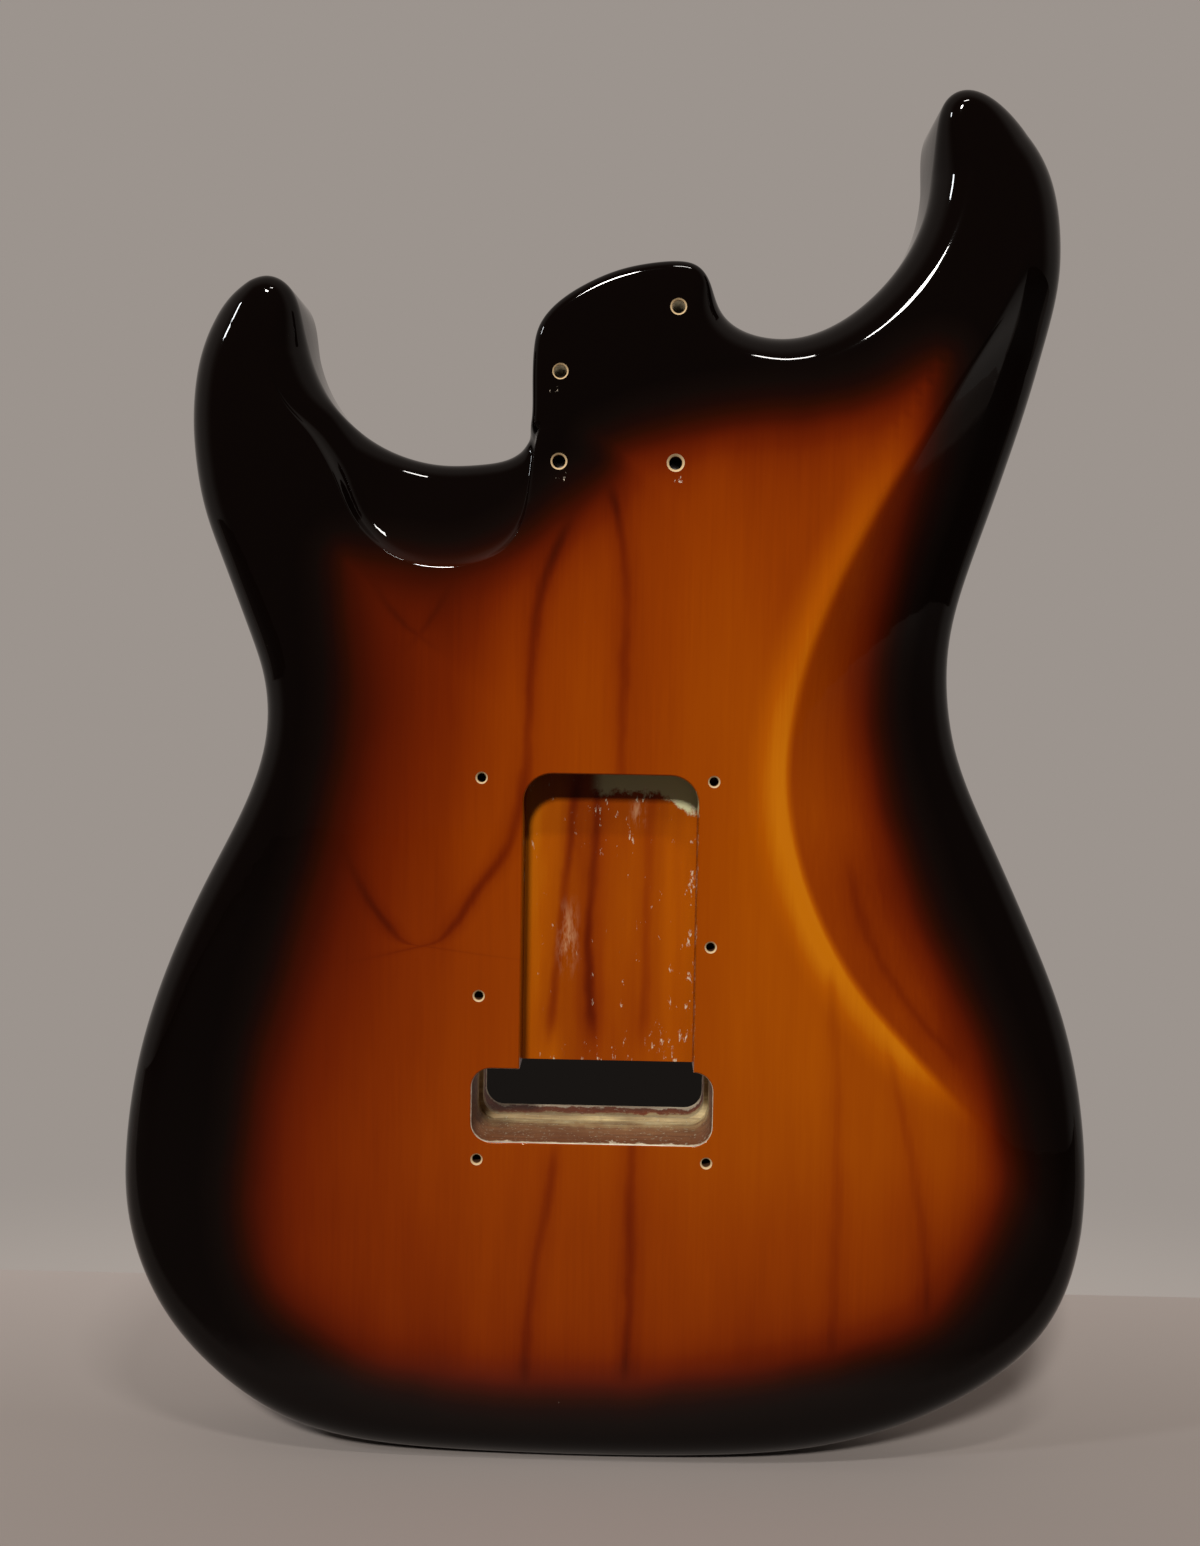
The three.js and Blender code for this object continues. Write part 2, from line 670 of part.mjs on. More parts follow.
const cuts = [
  ...neckJointCuts(),
  ...tremoloCuts(),
  ...electronicsCuts(),
  ...jackCuts(),
  ...pickguardCuts(),
  ...strapCuts(),
];
const body = toSolid(blankGeometry()).subtract(wasm.Manifold.union(cuts));

// Planks, split on the glue joints.
function plankGeometry(leftX, rightX) {
  const box = new THREE.BoxGeometry(rightX - leftX, 2 * bodyLength, bodyThickness + 2 * cutOverrun);
  box.translate((leftX + rightX) / 2, 0, (backZ + frontZ) / 2);
  return toGeometry(body.intersect(toSolid(box)));
}

function bushingGeometry() {
  const radius = bushingDiameter / 2;
  const bore = bushingBoreDiameter / 2;
  const grooved = radius - bushingGrooveDepth;
  const grooveStart = bushingLength * bushingGrooveStartShare;
  const grooveEnd = bushingLength * bushingGrooveEndShare;
  const profile = [
    [0, 0],
    [radius - bushingChamfer, 0],
    [radius, bushingChamfer],
    [radius, grooveStart],
    [grooved, grooveStart + bushingGrooveDepth],
    [grooved, grooveEnd - bushingGrooveDepth],
    [radius, grooveEnd],
    [radius, bushingLength - bushingChamfer],
    [radius - bushingChamfer, bushingLength],
    [bore + bushingChamfer, bushingLength],
    [bore, bushingLength - bushingChamfer],
    [bore, bushingLength - bushingBoreDepth],
    [0, bushingLength - bushingBoreDepth],
  ].map(([x, y]) => new THREE.Vector2(x, y));
  const geometry = new THREE.LatheGeometry(profile, 2 * holeSides);
  return geometry.rotateX(-Math.PI / 2);
}

function material(color, roughness, metalness) {
  return new THREE.MeshStandardMaterial({ color, roughness, metalness });
}

const amberLacquer = material(0xa8560c, 0.12, 0);
const darkLacquer = material(0x1c0d06, 0.1, 0);
const steel = material(0xb8b6b0, 0.35, 1);

const group = new THREE.Group();
group.rotation.x = Math.PI / 2;

function addPiece(name, geometry, finish, position) {
  const mesh = new THREE.Mesh(geometry, finish);
  mesh.name = name;
  mesh.position.copy(position);
  group.add(mesh);
}

const atOrigin = new THREE.Vector3(0, 0, 0);
addPiece('treble_plank', plankGeometry(-bodyWidth, trebleJointX), darkLacquer, atOrigin);
addPiece('centre_plank', plankGeometry(trebleJointX, bassJointX), amberLacquer, atOrigin);
addPiece('bass_plank', plankGeometry(bassJointX, bodyWidth), darkLacquer, atOrigin);
const trebleStud = new THREE.Vector3(-studSpacing / 2, studLineY, frontZ + bushingLength);
const bassStud = new THREE.Vector3(studSpacing / 2, studLineY, frontZ + bushingLength);
addPiece('treble_stud_bushing', bushingGeometry(), steel, trebleStud);
addPiece('bass_stud_bushing', bushingGeometry(), steel, bassStud);

export default group;
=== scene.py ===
"""Looks of a contoured electric guitar body: three glued planks under a two-tone burst lacquer.

Shapes are worked out in drawing axes in millimetres: x towards the bass side, y towards the neck,
z out of the back face. to_row turns them into the row frame in metres.
"""
import math
from collections import namedtuple

import bmesh
import bpy
import numpy as np
from mathutils import Matrix, Vector
from mathutils.bvhtree import BVHTree
from mathutils.geometry import delaunay_2d_cdt


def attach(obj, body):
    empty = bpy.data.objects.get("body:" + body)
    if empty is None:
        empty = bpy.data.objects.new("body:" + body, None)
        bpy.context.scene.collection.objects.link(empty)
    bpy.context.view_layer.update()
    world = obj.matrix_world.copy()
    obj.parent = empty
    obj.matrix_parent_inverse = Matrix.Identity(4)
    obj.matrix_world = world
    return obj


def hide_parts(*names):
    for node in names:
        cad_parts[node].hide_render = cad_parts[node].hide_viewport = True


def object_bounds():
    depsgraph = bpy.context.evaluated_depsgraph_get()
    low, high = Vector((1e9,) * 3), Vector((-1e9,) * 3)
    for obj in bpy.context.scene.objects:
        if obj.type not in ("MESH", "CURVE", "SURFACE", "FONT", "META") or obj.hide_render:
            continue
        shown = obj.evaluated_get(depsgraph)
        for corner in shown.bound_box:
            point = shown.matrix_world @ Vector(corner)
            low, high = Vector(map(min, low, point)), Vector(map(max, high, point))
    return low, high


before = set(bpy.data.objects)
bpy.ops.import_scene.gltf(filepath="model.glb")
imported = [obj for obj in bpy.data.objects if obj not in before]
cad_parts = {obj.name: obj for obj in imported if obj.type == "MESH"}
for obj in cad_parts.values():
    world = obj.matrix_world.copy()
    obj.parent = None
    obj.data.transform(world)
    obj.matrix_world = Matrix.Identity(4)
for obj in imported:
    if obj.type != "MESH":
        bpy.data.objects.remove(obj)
cad_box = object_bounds()

MM = 0.001

# Overall sizes
BODY_WIDTH = 324
BODY_LENGTH = 455
BODY_THICKNESS = 44.45
EDGE_RADIUS = 12.7
HEEL_EDGE_RADIUS = 3.2
SCOOP_EDGE_RADIUS = 8
TREBLE_JOINT_SHARE = -0.565
BASS_JOINT_SHARE = 0.296
OVERRUN = 6

# Neck joint
POCKET_WIDTH = 56
POCKET_DEPTH = 15.85
POCKET_END_Y = -29.5
POCKET_CORNER_RADIUS = 3.5
HEEL_REACH = 50.6
POCKET_MOUTH_FLARE = 7
POCKET_MOUTH_RUN = 8
NECK_SCREW_DIAMETER = 4.3
NECK_SCREW_RIM_DIAMETER = 5.8
NECK_SCREW_RIM_DEPTH = 0.7
NECK_SCREWS = [(-18.9, 14.4), (18.9, 35.5), (-18.9, -14.4), (18.9, -14.4)]

# Spring cavity and tremolo slot in the back
SPRING_WIDTH = 57.5
SPRING_DEPTH = 16
SPRING_TOP_Y = -115.7
SPRING_CORNER_RADIUS = 9.5
SLOT_TOP_Y = -213.6
SLOT_HEIGHT = 24.5
SLOT_WIDTH = 79.7
SLOT_X = -4.65
SLOT_CORNER_RADIUS = 6.35
SLOT_LEDGE_DEPTH = 30
SLOT_LEDGE_WIDTH = 1.4
CLAW_SCREW_DIAMETER = 3.2
CLAW_SCREW_LENGTH = 32
CLAW_SCREW_X = 16
CLAW_SCREW_DEPTH = 8
COVER_SCREW_DIAMETER = 3
COVER_SCREW_RIM_DIAMETER = 4
COVER_SCREW_RIM_DEPTH = 0.6
COVER_SCREW_DEPTH = 12
COVER_SCREWS = [
    (-42.5, -117.4), (-42.5, -189.4), (-42.5, -244), (33.5, -117.4), (33.5, -171.8), (33.5, -243.7),
]
LIP_RADIUS = 0.8

# Tremolo stud bushings in the front
STUD_SPACING = 56
STUD_Y = -202
BUSHING_DIAMETER = 10
BUSHING_LENGTH = 20
BUSHING_BORE_DIAMETER = 7
BUSHING_BORE_DEPTH = 17
BUSHING_CLEARANCE = 0.3
BUSHING_GROOVE_DEPTH = 0.5
BUSHING_GROOVE_SHARES = (0.4, 0.55)
BUSHING_CHAMFER = 0.6
BUSHING_SIDES = 144

# Pickup, control and jack cavities in the front
PICKUP_LENGTH = 87
PICKUP_WIDTH = 22
PICKUP_DEPTH = 19
PICKUP_CORNER_RADIUS = 6
PICKUP_YS = (-47, -110.5, -167)
BRIDGE_PICKUP_SLANT = 9
CONTROL_BACK_WALL = 6.45
CONTROL_CORNER_RADIUS = 9
CHANNEL_WIDTH = 12
CHANNEL_DEPTH = 16
GROUND_HOLE_DIAMETER = 5
GROUND_HOLE_Y = -150
JACK_LENGTH = 56
JACK_WIDTH = 27
JACK_DEPTH = 23
JACK_SHARES = (-0.667, -0.644)
JACK_TURN = -40
JACK_HOLE_DIAMETER = 11
GUARD_SCREW_DIAMETER = 2.6
GUARD_SCREW_DEPTH = 9
STRAP_SCREW_DIAMETER = 3.4
STRAP_SCREW_LENGTH = 26

# Contour cuts
BELLY_DEPTH = 20
BELLY_SKEW = 0.8
BELLY_FULLNESS = 1.2
BELLY_START_SHARE = 0.14
BELLY_CREASE_BLEND = 5
FOREARM_DEPTH = 13
FOREARM_CREASE_BLEND = 10
SCOOP_DEPTH = 14
SCOOP_HOLLOW = 0.35
SCOOP_START_SHARE = 0.07
SCOOP_FADE_START = 0.42
SCOOP_WALL_RUN = 4
SCOOP_SOFT_START = 0.45
SCOOP_MERGE_START = 0.6
SCOOP_MERGE_END = 0.9
SCOOP_SOFT_RUN = 18
SCOOP_WALL_SHARPNESS = 1.6
SCOOP_WALL_RATE = 3
SCOOP_EDGE_SHARE = 0.5
CREASE_EDGE_SHARE = 0.9
EDGE_EASE_DEPTH = 5

# Slight rounding of the flats towards the edge
PILLOW_DEPTH = 0.5
PILLOW_REACH = 34

# Fineness: counts of steps, rows and sides, and shares
KNOT_PULLS = 8
SPAN_STEPS = 8
LINE_STEPS = 40
BELLY_LINE_STEPS = 6
BURST_POINTS = 300
ROOM_WINDOW = 5
ROOM_SHARE = 0.85
WALL_SHARE = 0.45
CREASE_ROWS = 8
SLOPE_ROWS = 9
FILLET_ROWS = 12
GRID_STEP = 3.5
ARC_STEPS = 10
LIP_STEPS = 6
HOLE_SIDES = 40

# Tolerances: those with MM are in metres, other distances in millimetres. The last two guard divisions.
MERGE_DISTANCE = 0.004 * MM
SURFACE_TOLERANCE = 0.05 * MM
FACE_TOLERANCE = 0.25 * MM
ZONE_MARGIN = 0.1
SMOOTH_ANGLE = math.radians(35)
SAME_SIDE_COSINE = 0.5
FLAT_COSINE = 0.9
SHORTEST_RUN = 0.001
FLAT_TOLERANCE = 1e-6
TINY = 1e-9
THIN_TRIANGLE = 1e-24

HALF_WIDTH = BODY_WIDTH / 2
HEEL_HALF_WIDTH = POCKET_WIDTH / 2
BACK_Z = BODY_THICKNESS - POCKET_DEPTH
FRONT_Z = -POCKET_DEPTH
TREBLE_JOINT_X = TREBLE_JOINT_SHARE * HALF_WIDTH
BASS_JOINT_X = BASS_JOINT_SHARE * HALF_WIDTH
SLOT_BOTTOM_Y = SLOT_TOP_Y - SLOT_HEIGHT
SLOT_LEFT, SLOT_RIGHT = SLOT_X - SLOT_WIDTH / 2, SLOT_X + SLOT_WIDTH / 2
SPRING_HALF = SPRING_WIDTH / 2
MIDDLE_Z = (BACK_Z + FRONT_Z) / 2
# Height of each face by its side: 1 for the back and -1 for the front
FACE_Z = {1: BACK_Z, -1: FRONT_Z}

# Outline, clockwise as seen from the back. Shares are of half the width and of the length.
TREBLE_BOUT_SHARES = [
    (0, -0.765), (-0.235, -0.764), (-0.469, -0.759), (-0.667, -0.741), (-0.827, -0.702), (-0.935, -0.654),
    (-0.993, -0.6), (-1.004, -0.543), (-0.978, -0.473), (-0.919, -0.404), (-0.841, -0.341),
    (-0.765, -0.287), (-0.718, -0.237), (-0.718, -0.193),
]
TREBLE_HORN_SHARES = [
    (-0.752, -0.154), (-0.807, -0.103), (-0.847, -0.062), (-0.866, -0.018), (-0.865, 0.018), (-0.849, 0.048),
    (-0.814, 0.075), (-0.765, 0.0915), (-0.713, 0.099), (-0.67, 0.0925), (-0.648, 0.077), (-0.636, 0.055),
    (-0.614, 0.03),
]
TREBLE_CUTAWAY_SHARES = [
    (-0.574, 0.007), (-0.519, -0.011), (-0.451, -0.0235), (-0.37, -0.03), (-0.29, -0.0295),
    (-0.225, -0.025), (-0.186, -0.014),
]
BASS_CUTAWAY_SHARES = [
    (0.202, 0.081), (0.244, 0.068), (0.306, 0.062), (0.377, 0.064), (0.454, 0.0765), (0.525, 0.098),
    (0.579, 0.124), (0.611, 0.152),
]
BASS_HORN_SHARES = [
    (0.622, 0.18), (0.625, 0.207), (0.64, 0.227), (0.685, 0.2345), (0.75, 0.2255), (0.812, 0.206),
    (0.857, 0.18), (0.88, 0.148), (0.885, 0.11), (0.872, 0.062), (0.832, 0.001), (0.775, -0.065),
]
BASS_BOUT_SHARES = [
    (0.722, -0.126), (0.704, -0.18), (0.73, -0.241), (0.804, -0.305), (0.89, -0.374), (0.958, -0.44),
    (0.995, -0.514), (0.993, -0.587), (0.948, -0.646), (0.847, -0.691), (0.676, -0.729), (0.463, -0.754),
    (0.235, -0.763),
]
# The heel follows the neck pocket: shares of half the pocket's width and of the heel's reach.
HEEL_SHARES = [
    (-1, 0.01), (-1, 0.22), (-0.99, 0.435), (-0.915, 0.6), (-0.7, 0.74), (-0.38, 0.855), (-0.02, 0.94),
    (0.34, 0.985), (0.66, 1), (0.89, 0.97), (1.04, 0.87),
]
# Creases where a contour cut leaves a flat face. The first and last entry only find the ends of the cut.
BELLY_CREASE_SHARES = [
    (0.885, 0.125), (0.742, 0.067), (0.634, 0.003), (0.526, -0.06), (0.433, -0.127), (0.372, -0.195),
    (0.356, -0.264), (0.4, -0.335), (0.495, -0.4), (0.64, -0.46), (0.8, -0.52), (0.99, -0.585),
]
SCOOP_CREASE_SHARES = [
    (-0.175, -0.003), (-0.164, -0.02), (-0.17, -0.036), (-0.184, -0.071), (-0.215, -0.092),
    (-0.272, -0.104), (-0.351, -0.109), (-0.432, -0.103), (-0.493, -0.089), (-0.545, -0.066),
    (-0.58, -0.036), (-0.605, -0.006), (-0.625, 0.045),
]
FOREARM_CREASE_SHARES = [
    (0.72, -0.235), (0.62, -0.3), (0.555, -0.38), (0.51, -0.46), (0.47, -0.54), (0.43, -0.62),
    (0.38, -0.69), (0.3, -0.762),
]
CONTROL_SHARES = [
    (-0.37, -0.272), (-0.55, -0.272), (-0.7, -0.375), (-0.812, -0.49), (-0.805, -0.572),
    (-0.67, -0.584), (-0.52, -0.505), (-0.39, -0.4),
]
GUARD_SCREW_SHARES = [
    (0.4, 0.02), (0.57, -0.02), (0.48, -0.15), (0.42, -0.25), (0.37, -0.33), (-0.42, -0.07),
    (-0.62, -0.03), (-0.62, -0.2), (-0.79, -0.34), (-0.88, -0.53), (-0.5, -0.55),
]
STRAP_SCREW_SHARES = [(0.685, 0.2345), (0, -0.765)]

# Edge of the dark burst on the back, in millimetres
BURST_EDGE = [
    (-5.7, -7.4), (26.4, 2.6), (58.5, 6.3), (84, 13), (104.5, 22.8), (107, 7), (103, -25), (96, -57.2),
    (91.5, -89.6), (96.5, -122.2), (106.5, -154.8), (118.5, -181), (130.5, -207.1), (137.5, -230.1),
    (138.5, -253.5), (127.5, -280.5), (108, -303), (66.2, -318), (-0.2, -327), (-67.1, -323),
    (-102, -307), (-118.5, -287), (-123.5, -259.6), (-121, -225.8), (-112.5, -192.2),
    (-103.4, -158.8), (-94.5, -125.6), (-89.5, -92.9), (-92.5, -61), (-91.5, -43), (-76.5, -43.9),
    (-54.5, -45), (-36, -38.5), (-23, -28.5), (-5.5, -15),
]
# On the front: how far in the burst's edge lies, and half the height over which the two sides blend
FRONT_BURST_INSET = 34
FRONT_BLEND = 8


def to_row(points):
    """Drawing points in millimetres as row-frame points in metres."""
    points = np.asarray(points, float)
    return np.stack([points[..., 0], -points[..., 2], points[..., 1]], -1) * MM


def smoothstep(values, low, high):
    share = np.clip((values - low) / (high - low), 0, 1)
    return share * share * (3 - 2 * share)


# Outline and contour cuts

def on_body(shares):
    """Drawing points from shares of half the body's width and of its length."""
    return np.array(shares, float) * (HALF_WIDTH, BODY_LENGTH)


def spline_loop(values, pulls):
    """Closed cubic B-spline through the values, SPAN_STEPS samples to a span."""
    knots = values.copy()
    for _ in range(pulls):
        knots = knots + values - (np.roll(knots, 1, 0) + 4 * knots + np.roll(knots, -1, 0)) / 6
    samples = []
    for step in range(SPAN_STEPS):
        t = step / SPAN_STEPS
        weights = ((1 - t) ** 3, 3 * t ** 3 - 6 * t ** 2 + 4, -3 * t ** 3 + 3 * t ** 2 + 3 * t + 1, t ** 3)
        samples.append(sum(weight * np.roll(knots, 1 - k, 0) for k, weight in enumerate(weights)) / 6)
    return np.stack(samples, 1).reshape(-1, values.shape[1])


def make_outline():
    """Outline points, inward directions and edge radii."""
    runs = [
        (on_body(TREBLE_BOUT_SHARES + TREBLE_HORN_SHARES + TREBLE_CUTAWAY_SHARES[:-1]), EDGE_RADIUS),
        (on_body(TREBLE_CUTAWAY_SHARES[-1:]), HEEL_EDGE_RADIUS),
        (np.array(HEEL_SHARES, float) * (HEEL_HALF_WIDTH, HEEL_REACH), HEEL_EDGE_RADIUS),
        (on_body(BASS_CUTAWAY_SHARES + BASS_HORN_SHARES + BASS_BOUT_SHARES), EDGE_RADIUS),
    ]
    controls = np.concatenate([points for points, _ in runs])
    wanted = np.concatenate([np.full((len(points), 1), float(radius)) for points, radius in runs])
    points = spline_loop(controls, KNOT_PULLS)
    radii = spline_loop(wanted, 0)[:, 0]
    along = np.roll(points, -1, 0) - np.roll(points, 1, 0)
    inward = np.stack([along[:, 1], -along[:, 0]], 1)
    inward /= np.linalg.norm(inward, axis=1)[:, None]
    reach = points[None] - points[:, None]
    facing = (reach * inward[:, None]).sum(2)
    square = (reach ** 2).sum(2)
    room = np.where(facing > TINY, square / (2 * np.maximum(facing, TINY)), np.inf).min(1)
    nearby = np.stack([np.roll(room, shift) for shift in range(-ROOM_WINDOW, ROOM_WINDOW + 1)])
    return points, inward, np.minimum(radii, nearby.min(0) * ROOM_SHARE)


outline, inward, edge_radii = make_outline()
COLUMNS = len(outline)


def nearest_sample(share):
    return int(np.argmin(np.linalg.norm(outline - on_body(share), axis=1)))


def smooth_line(points, steps=LINE_STEPS):
    """Open curve through the points, as close samples."""
    points = np.asarray(points, float)
    before = np.concatenate([points[:1], points[:-1]])
    after = np.concatenate([points[1:], points[-1:]])
    slopes = (after - before) / 2
    t = np.linspace(0, 1, steps, endpoint=False)[:, None]
    spans = []
    for k in range(len(points) - 1):
        low, high, leave, arrive = points[k], points[k + 1], slopes[k], slopes[k + 1]
        spans.append(
            (2 * low - 2 * high + leave + arrive) * t ** 3
            + (-3 * low + 3 * high - 2 * leave - arrive) * t ** 2 + leave * t + low
        )
    return np.concatenate(spans + [points[-1:]])


def even_points(line, count):
    """Points at even distances along a line."""
    length = np.concatenate([[0], np.cumsum(np.linalg.norm(np.diff(line, axis=0), axis=1))])
    wanted = np.linspace(0, length[-1], count)
    return np.stack([np.interp(wanted, length, line[:, axis]) for axis in (0, 1)], 1)


def contour_run(crease_shares, step):
    """Outline samples under a contour cut: their index, their share of the run and their crease point."""
    first, last = nearest_sample(crease_shares[0]), nearest_sample(crease_shares[-1])
    length = ((last - first) * step) % COLUMNS
    ends = [outline[i] + inward[i] * edge_radii[i] for i in (first, last)]
    line = np.concatenate([ends[:1], on_body(crease_shares[1:-1]), ends[1:]])
    creases = even_points(smooth_line(line), length + 1)
    return [((first + step * k) % COLUMNS, k / length, creases[k]) for k in range(length + 1)]


# A contour cut at one outline sample, with its crease and how far the crease's bend reaches
Cut = namedtuple("Cut", "kind depth crease bend")


def contour_cuts():
    """Cuts of the back and the front by outline sample. The scoop also lowers the edge radius."""
    back, front = {}, {}
    for i, along, crease in contour_run(BELLY_CREASE_SHARES, 1):
        depth = BELLY_DEPTH * math.sin(math.pi * along ** BELLY_SKEW) ** BELLY_FULLNESS
        depth *= smoothstep(along, 0, BELLY_START_SHARE)
        back[i] = Cut("belly", depth, crease, BELLY_CREASE_BLEND)
    for i, along, crease in contour_run(SCOOP_CREASE_SHARES, -1):
        fade = smoothstep(along, 0, SCOOP_START_SHARE) * (1 - smoothstep(along, SCOOP_FADE_START, 1))
        bend = SCOOP_WALL_RUN + (SCOOP_SOFT_RUN - SCOOP_WALL_RUN) * smoothstep(along, SCOOP_SOFT_START, 1)
        edge_line = outline[i] + inward[i] * edge_radii[i]
        crease = crease + (edge_line - crease) * smoothstep(along, SCOOP_MERGE_START, SCOOP_MERGE_END)
        back[i] = Cut("scoop", SCOOP_DEPTH * fade, crease, bend)
        edge_radii[i] += (SCOOP_EDGE_RADIUS - edge_radii[i]) * fade
    for i, along, crease in contour_run(FOREARM_CREASE_SHARES, 1):
        front[i] = Cut("forearm", FOREARM_DEPTH * math.sin(math.pi * along), crease, FOREARM_CREASE_BLEND)
    return back, front


back_cuts, front_cuts = contour_cuts()
SCOOP_FLOOR_Y = min(cut.crease[1] for cut in back_cuts.values() if cut.kind == "scoop")


def soft_crease(run, slope, blend):
    """Depth past a crease that bends over a blend to either side of it."""
    bent = slope * (run + blend) ** 2 / (4 * blend)
    return np.where(run >= blend, slope * run, np.where(run <= -blend, 0, bent))


def face_profile(i, cut, radius, direction):
    """Runs from the crease, plan points and depths of a cut face, up to where the edge rounds over."""
    inner = outline[i] + direction * radius
    length = max(np.linalg.norm(inner - cut.crease), SHORTEST_RUN)
    heading = (inner - cut.crease) / length
    if cut.kind == "scoop":
        run = length * np.linspace(0, 1, CREASE_ROWS + SLOPE_ROWS) ** 2
        points = cut.crease + heading * run[:, None]
        rise = np.clip((points[:, 1] - SCOOP_FLOOR_Y) / (outline[i][1] - SCOOP_FLOOR_Y), 0, 1)
        wall = 1 - np.exp(-(SCOOP_WALL_RATE * run / min(cut.bend, length)) ** SCOOP_WALL_SHARPNESS)
        return points, cut.depth * rise * (1 + SCOOP_HOLLOW * (1 - rise)) * wall, run
    blend = min(cut.bend, length * WALL_SHARE)
    run = np.concatenate([
        np.linspace(-blend, blend, CREASE_ROWS, endpoint=False),
        np.linspace(blend, length, SLOPE_ROWS),
    ])
    return cut.crease + heading * run[:, None], soft_crease(run, cut.depth / length, blend), run


def edge_limit(cut, reach):
    """Largest edge radius beside a contour cut, up to the whole reach where the cut runs out."""
    share = SCOOP_EDGE_SHARE if cut.kind == "scoop" else CREASE_EDGE_SHARE
    return reach * (1 - (1 - share) * smoothstep(cut.depth, 0, EDGE_EASE_DEPTH))


def half_column(i, side):
    """Points from the flat face over the contour cut and the rounded edge to the wall."""
    cut = (back_cuts if side > 0 else front_cuts).get(i)
    lost = sum(cuts[i].depth for cuts in (back_cuts, front_cuts) if i in cuts)
    radius = min(edge_radii[i], (BODY_THICKNESS - lost) * WALL_SHARE)
    direction = inward[i]
    if cut and cut.depth > 0:
        towards = cut.crease - outline[i]
        reach = np.linalg.norm(towards)
        if cut.kind == "scoop":
            direction = towards / reach
        radius = min(radius, edge_limit(cut, reach))
        points, depths, run = face_profile(i, cut, radius, direction)
        slope = min(max((depths[-1] - depths[-2]) / (run[-1] - run[-2]), 0), 1)
        end_depth = depths[-1]
    else:
        inner = outline[i] + direction * radius
        points = np.repeat(inner[None], CREASE_ROWS + SLOPE_ROWS, 0)
        depths = np.zeros(len(points))
        slope, end_depth = 0, 0
    tilt = math.atan(slope)
    angles = np.linspace(tilt, math.pi / 2, FILLET_ROWS)
    fillet = outline[i] + direction * (radius * (1 - np.sin(angles)))[:, None]
    fillet_depths = end_depth + radius / math.cos(tilt) - radius * np.cos(angles)
    depths = np.concatenate([depths, fillet_depths])
    return np.column_stack([np.concatenate([points, fillet]), FACE_Z[side] - side * depths])


def segment_gaps(points, starts, ends):
    """For each segment, its ends, its span and the gap from its nearest spot to each point."""
    for start, end in zip(starts, ends):
        span = end - start
        share = np.clip((points - start) @ span / max(span @ span, TINY), 0, 1)
        yield start, end, span, points - start - share[:, None] * span


def signed_distance(points, loop):
    """Distance of points to a closed loop, positive inside."""
    best = np.full(len(points), np.inf)
    inside = np.zeros(len(points), bool)
    for start, end, span, gap in segment_gaps(points, loop, np.roll(loop, -1, 0)):
        best = np.minimum(best, (gap ** 2).sum(1))
        crosses = (start[1] > points[:, 1]) != (end[1] > points[:, 1])
        rise = span[1] if abs(span[1]) > TINY else TINY
        inside ^= crosses & (points[:, 0] < start[0] + span[0] * (points[:, 1] - start[1]) / rise)
    return np.where(inside, 1, -1) * np.sqrt(best)


def line_distance(points, line):
    """Signed distance to an open line, positive on the right of its direction."""
    best = np.full(len(points), np.inf)
    signed = np.zeros(len(points))
    for _, _, span, gap in segment_gaps(points, line[:-1], line[1:]):
        distance = np.linalg.norm(gap, axis=1)
        side = np.sign(gap[:, 0] * span[1] - gap[:, 1] * span[0])
        signed = np.where(distance < best, side * distance, signed)
        best = np.minimum(best, distance)
    return signed


def flat_face(ring):
    """Triangles inside a ring, with a grid of inner points. Returns all points and the triangles."""
    low, high = ring.min(0), ring.max(0)
    xs, ys = (np.arange(low[k], high[k], GRID_STEP) for k in (0, 1))
    grid = np.stack(np.meshgrid(xs, ys), -1).reshape(-1, 2)
    grid = grid[signed_distance(grid, ring) > GRID_STEP / 2]
    coords = [Vector(p) for p in np.concatenate([ring, grid])]
    edges = [(k, (k + 1) % len(ring)) for k in range(len(ring))]
    points, _, faces, _, _, _ = delaunay_2d_cdt(coords, edges, [], 0, FLAT_TOLERANCE)
    points = np.array(points)
    inside = signed_distance(points[np.array(faces)].mean(1), ring) > 0
    return points, [face for face, kept in zip(faces, inside) if kept]


def make_mesh(name, points, faces):
    """Mesh object from drawing points, with merged points and outward faces."""
    mesh = bpy.data.meshes.new(name)
    mesh.from_pydata([tuple(p) for p in to_row(points)], [], [tuple(f) for f in faces])
    work = bmesh.new()
    work.from_mesh(mesh)
    bmesh.ops.remove_doubles(work, verts=work.verts, dist=MERGE_DISTANCE)
    bmesh.ops.recalc_face_normals(work, faces=work.faces)
    work.to_mesh(mesh)
    work.free()
    return bpy.data.objects.new(name, mesh)


def make_blank():
    """The whole body before any cavity is cut."""
    columns = [np.concatenate([half_column(i, 1), half_column(i, -1)[::-1]]) for i in range(COLUMNS)]
    rows = len(columns[0])
    points = shell = np.concatenate(columns)
    faces = []
    for i in range(COLUMNS):
        here, there = i * rows, (i + 1) % COLUMNS * rows
        faces += [(here + j, there + j, there + j + 1, here + j + 1) for j in range(rows - 1)]
    for row, face_z in ((0, BACK_Z), (rows - 1, FRONT_Z)):
        flat, triangles = flat_face(shell[row::rows, :2])
        start = len(points)
        points = np.concatenate([points, np.column_stack([flat, np.full(len(flat), face_z)])])
        faces += [tuple(start + k for k in triangle) for triangle in triangles]
    points[:, 2] -= pillow(points)
    return make_mesh("blank", points, faces)


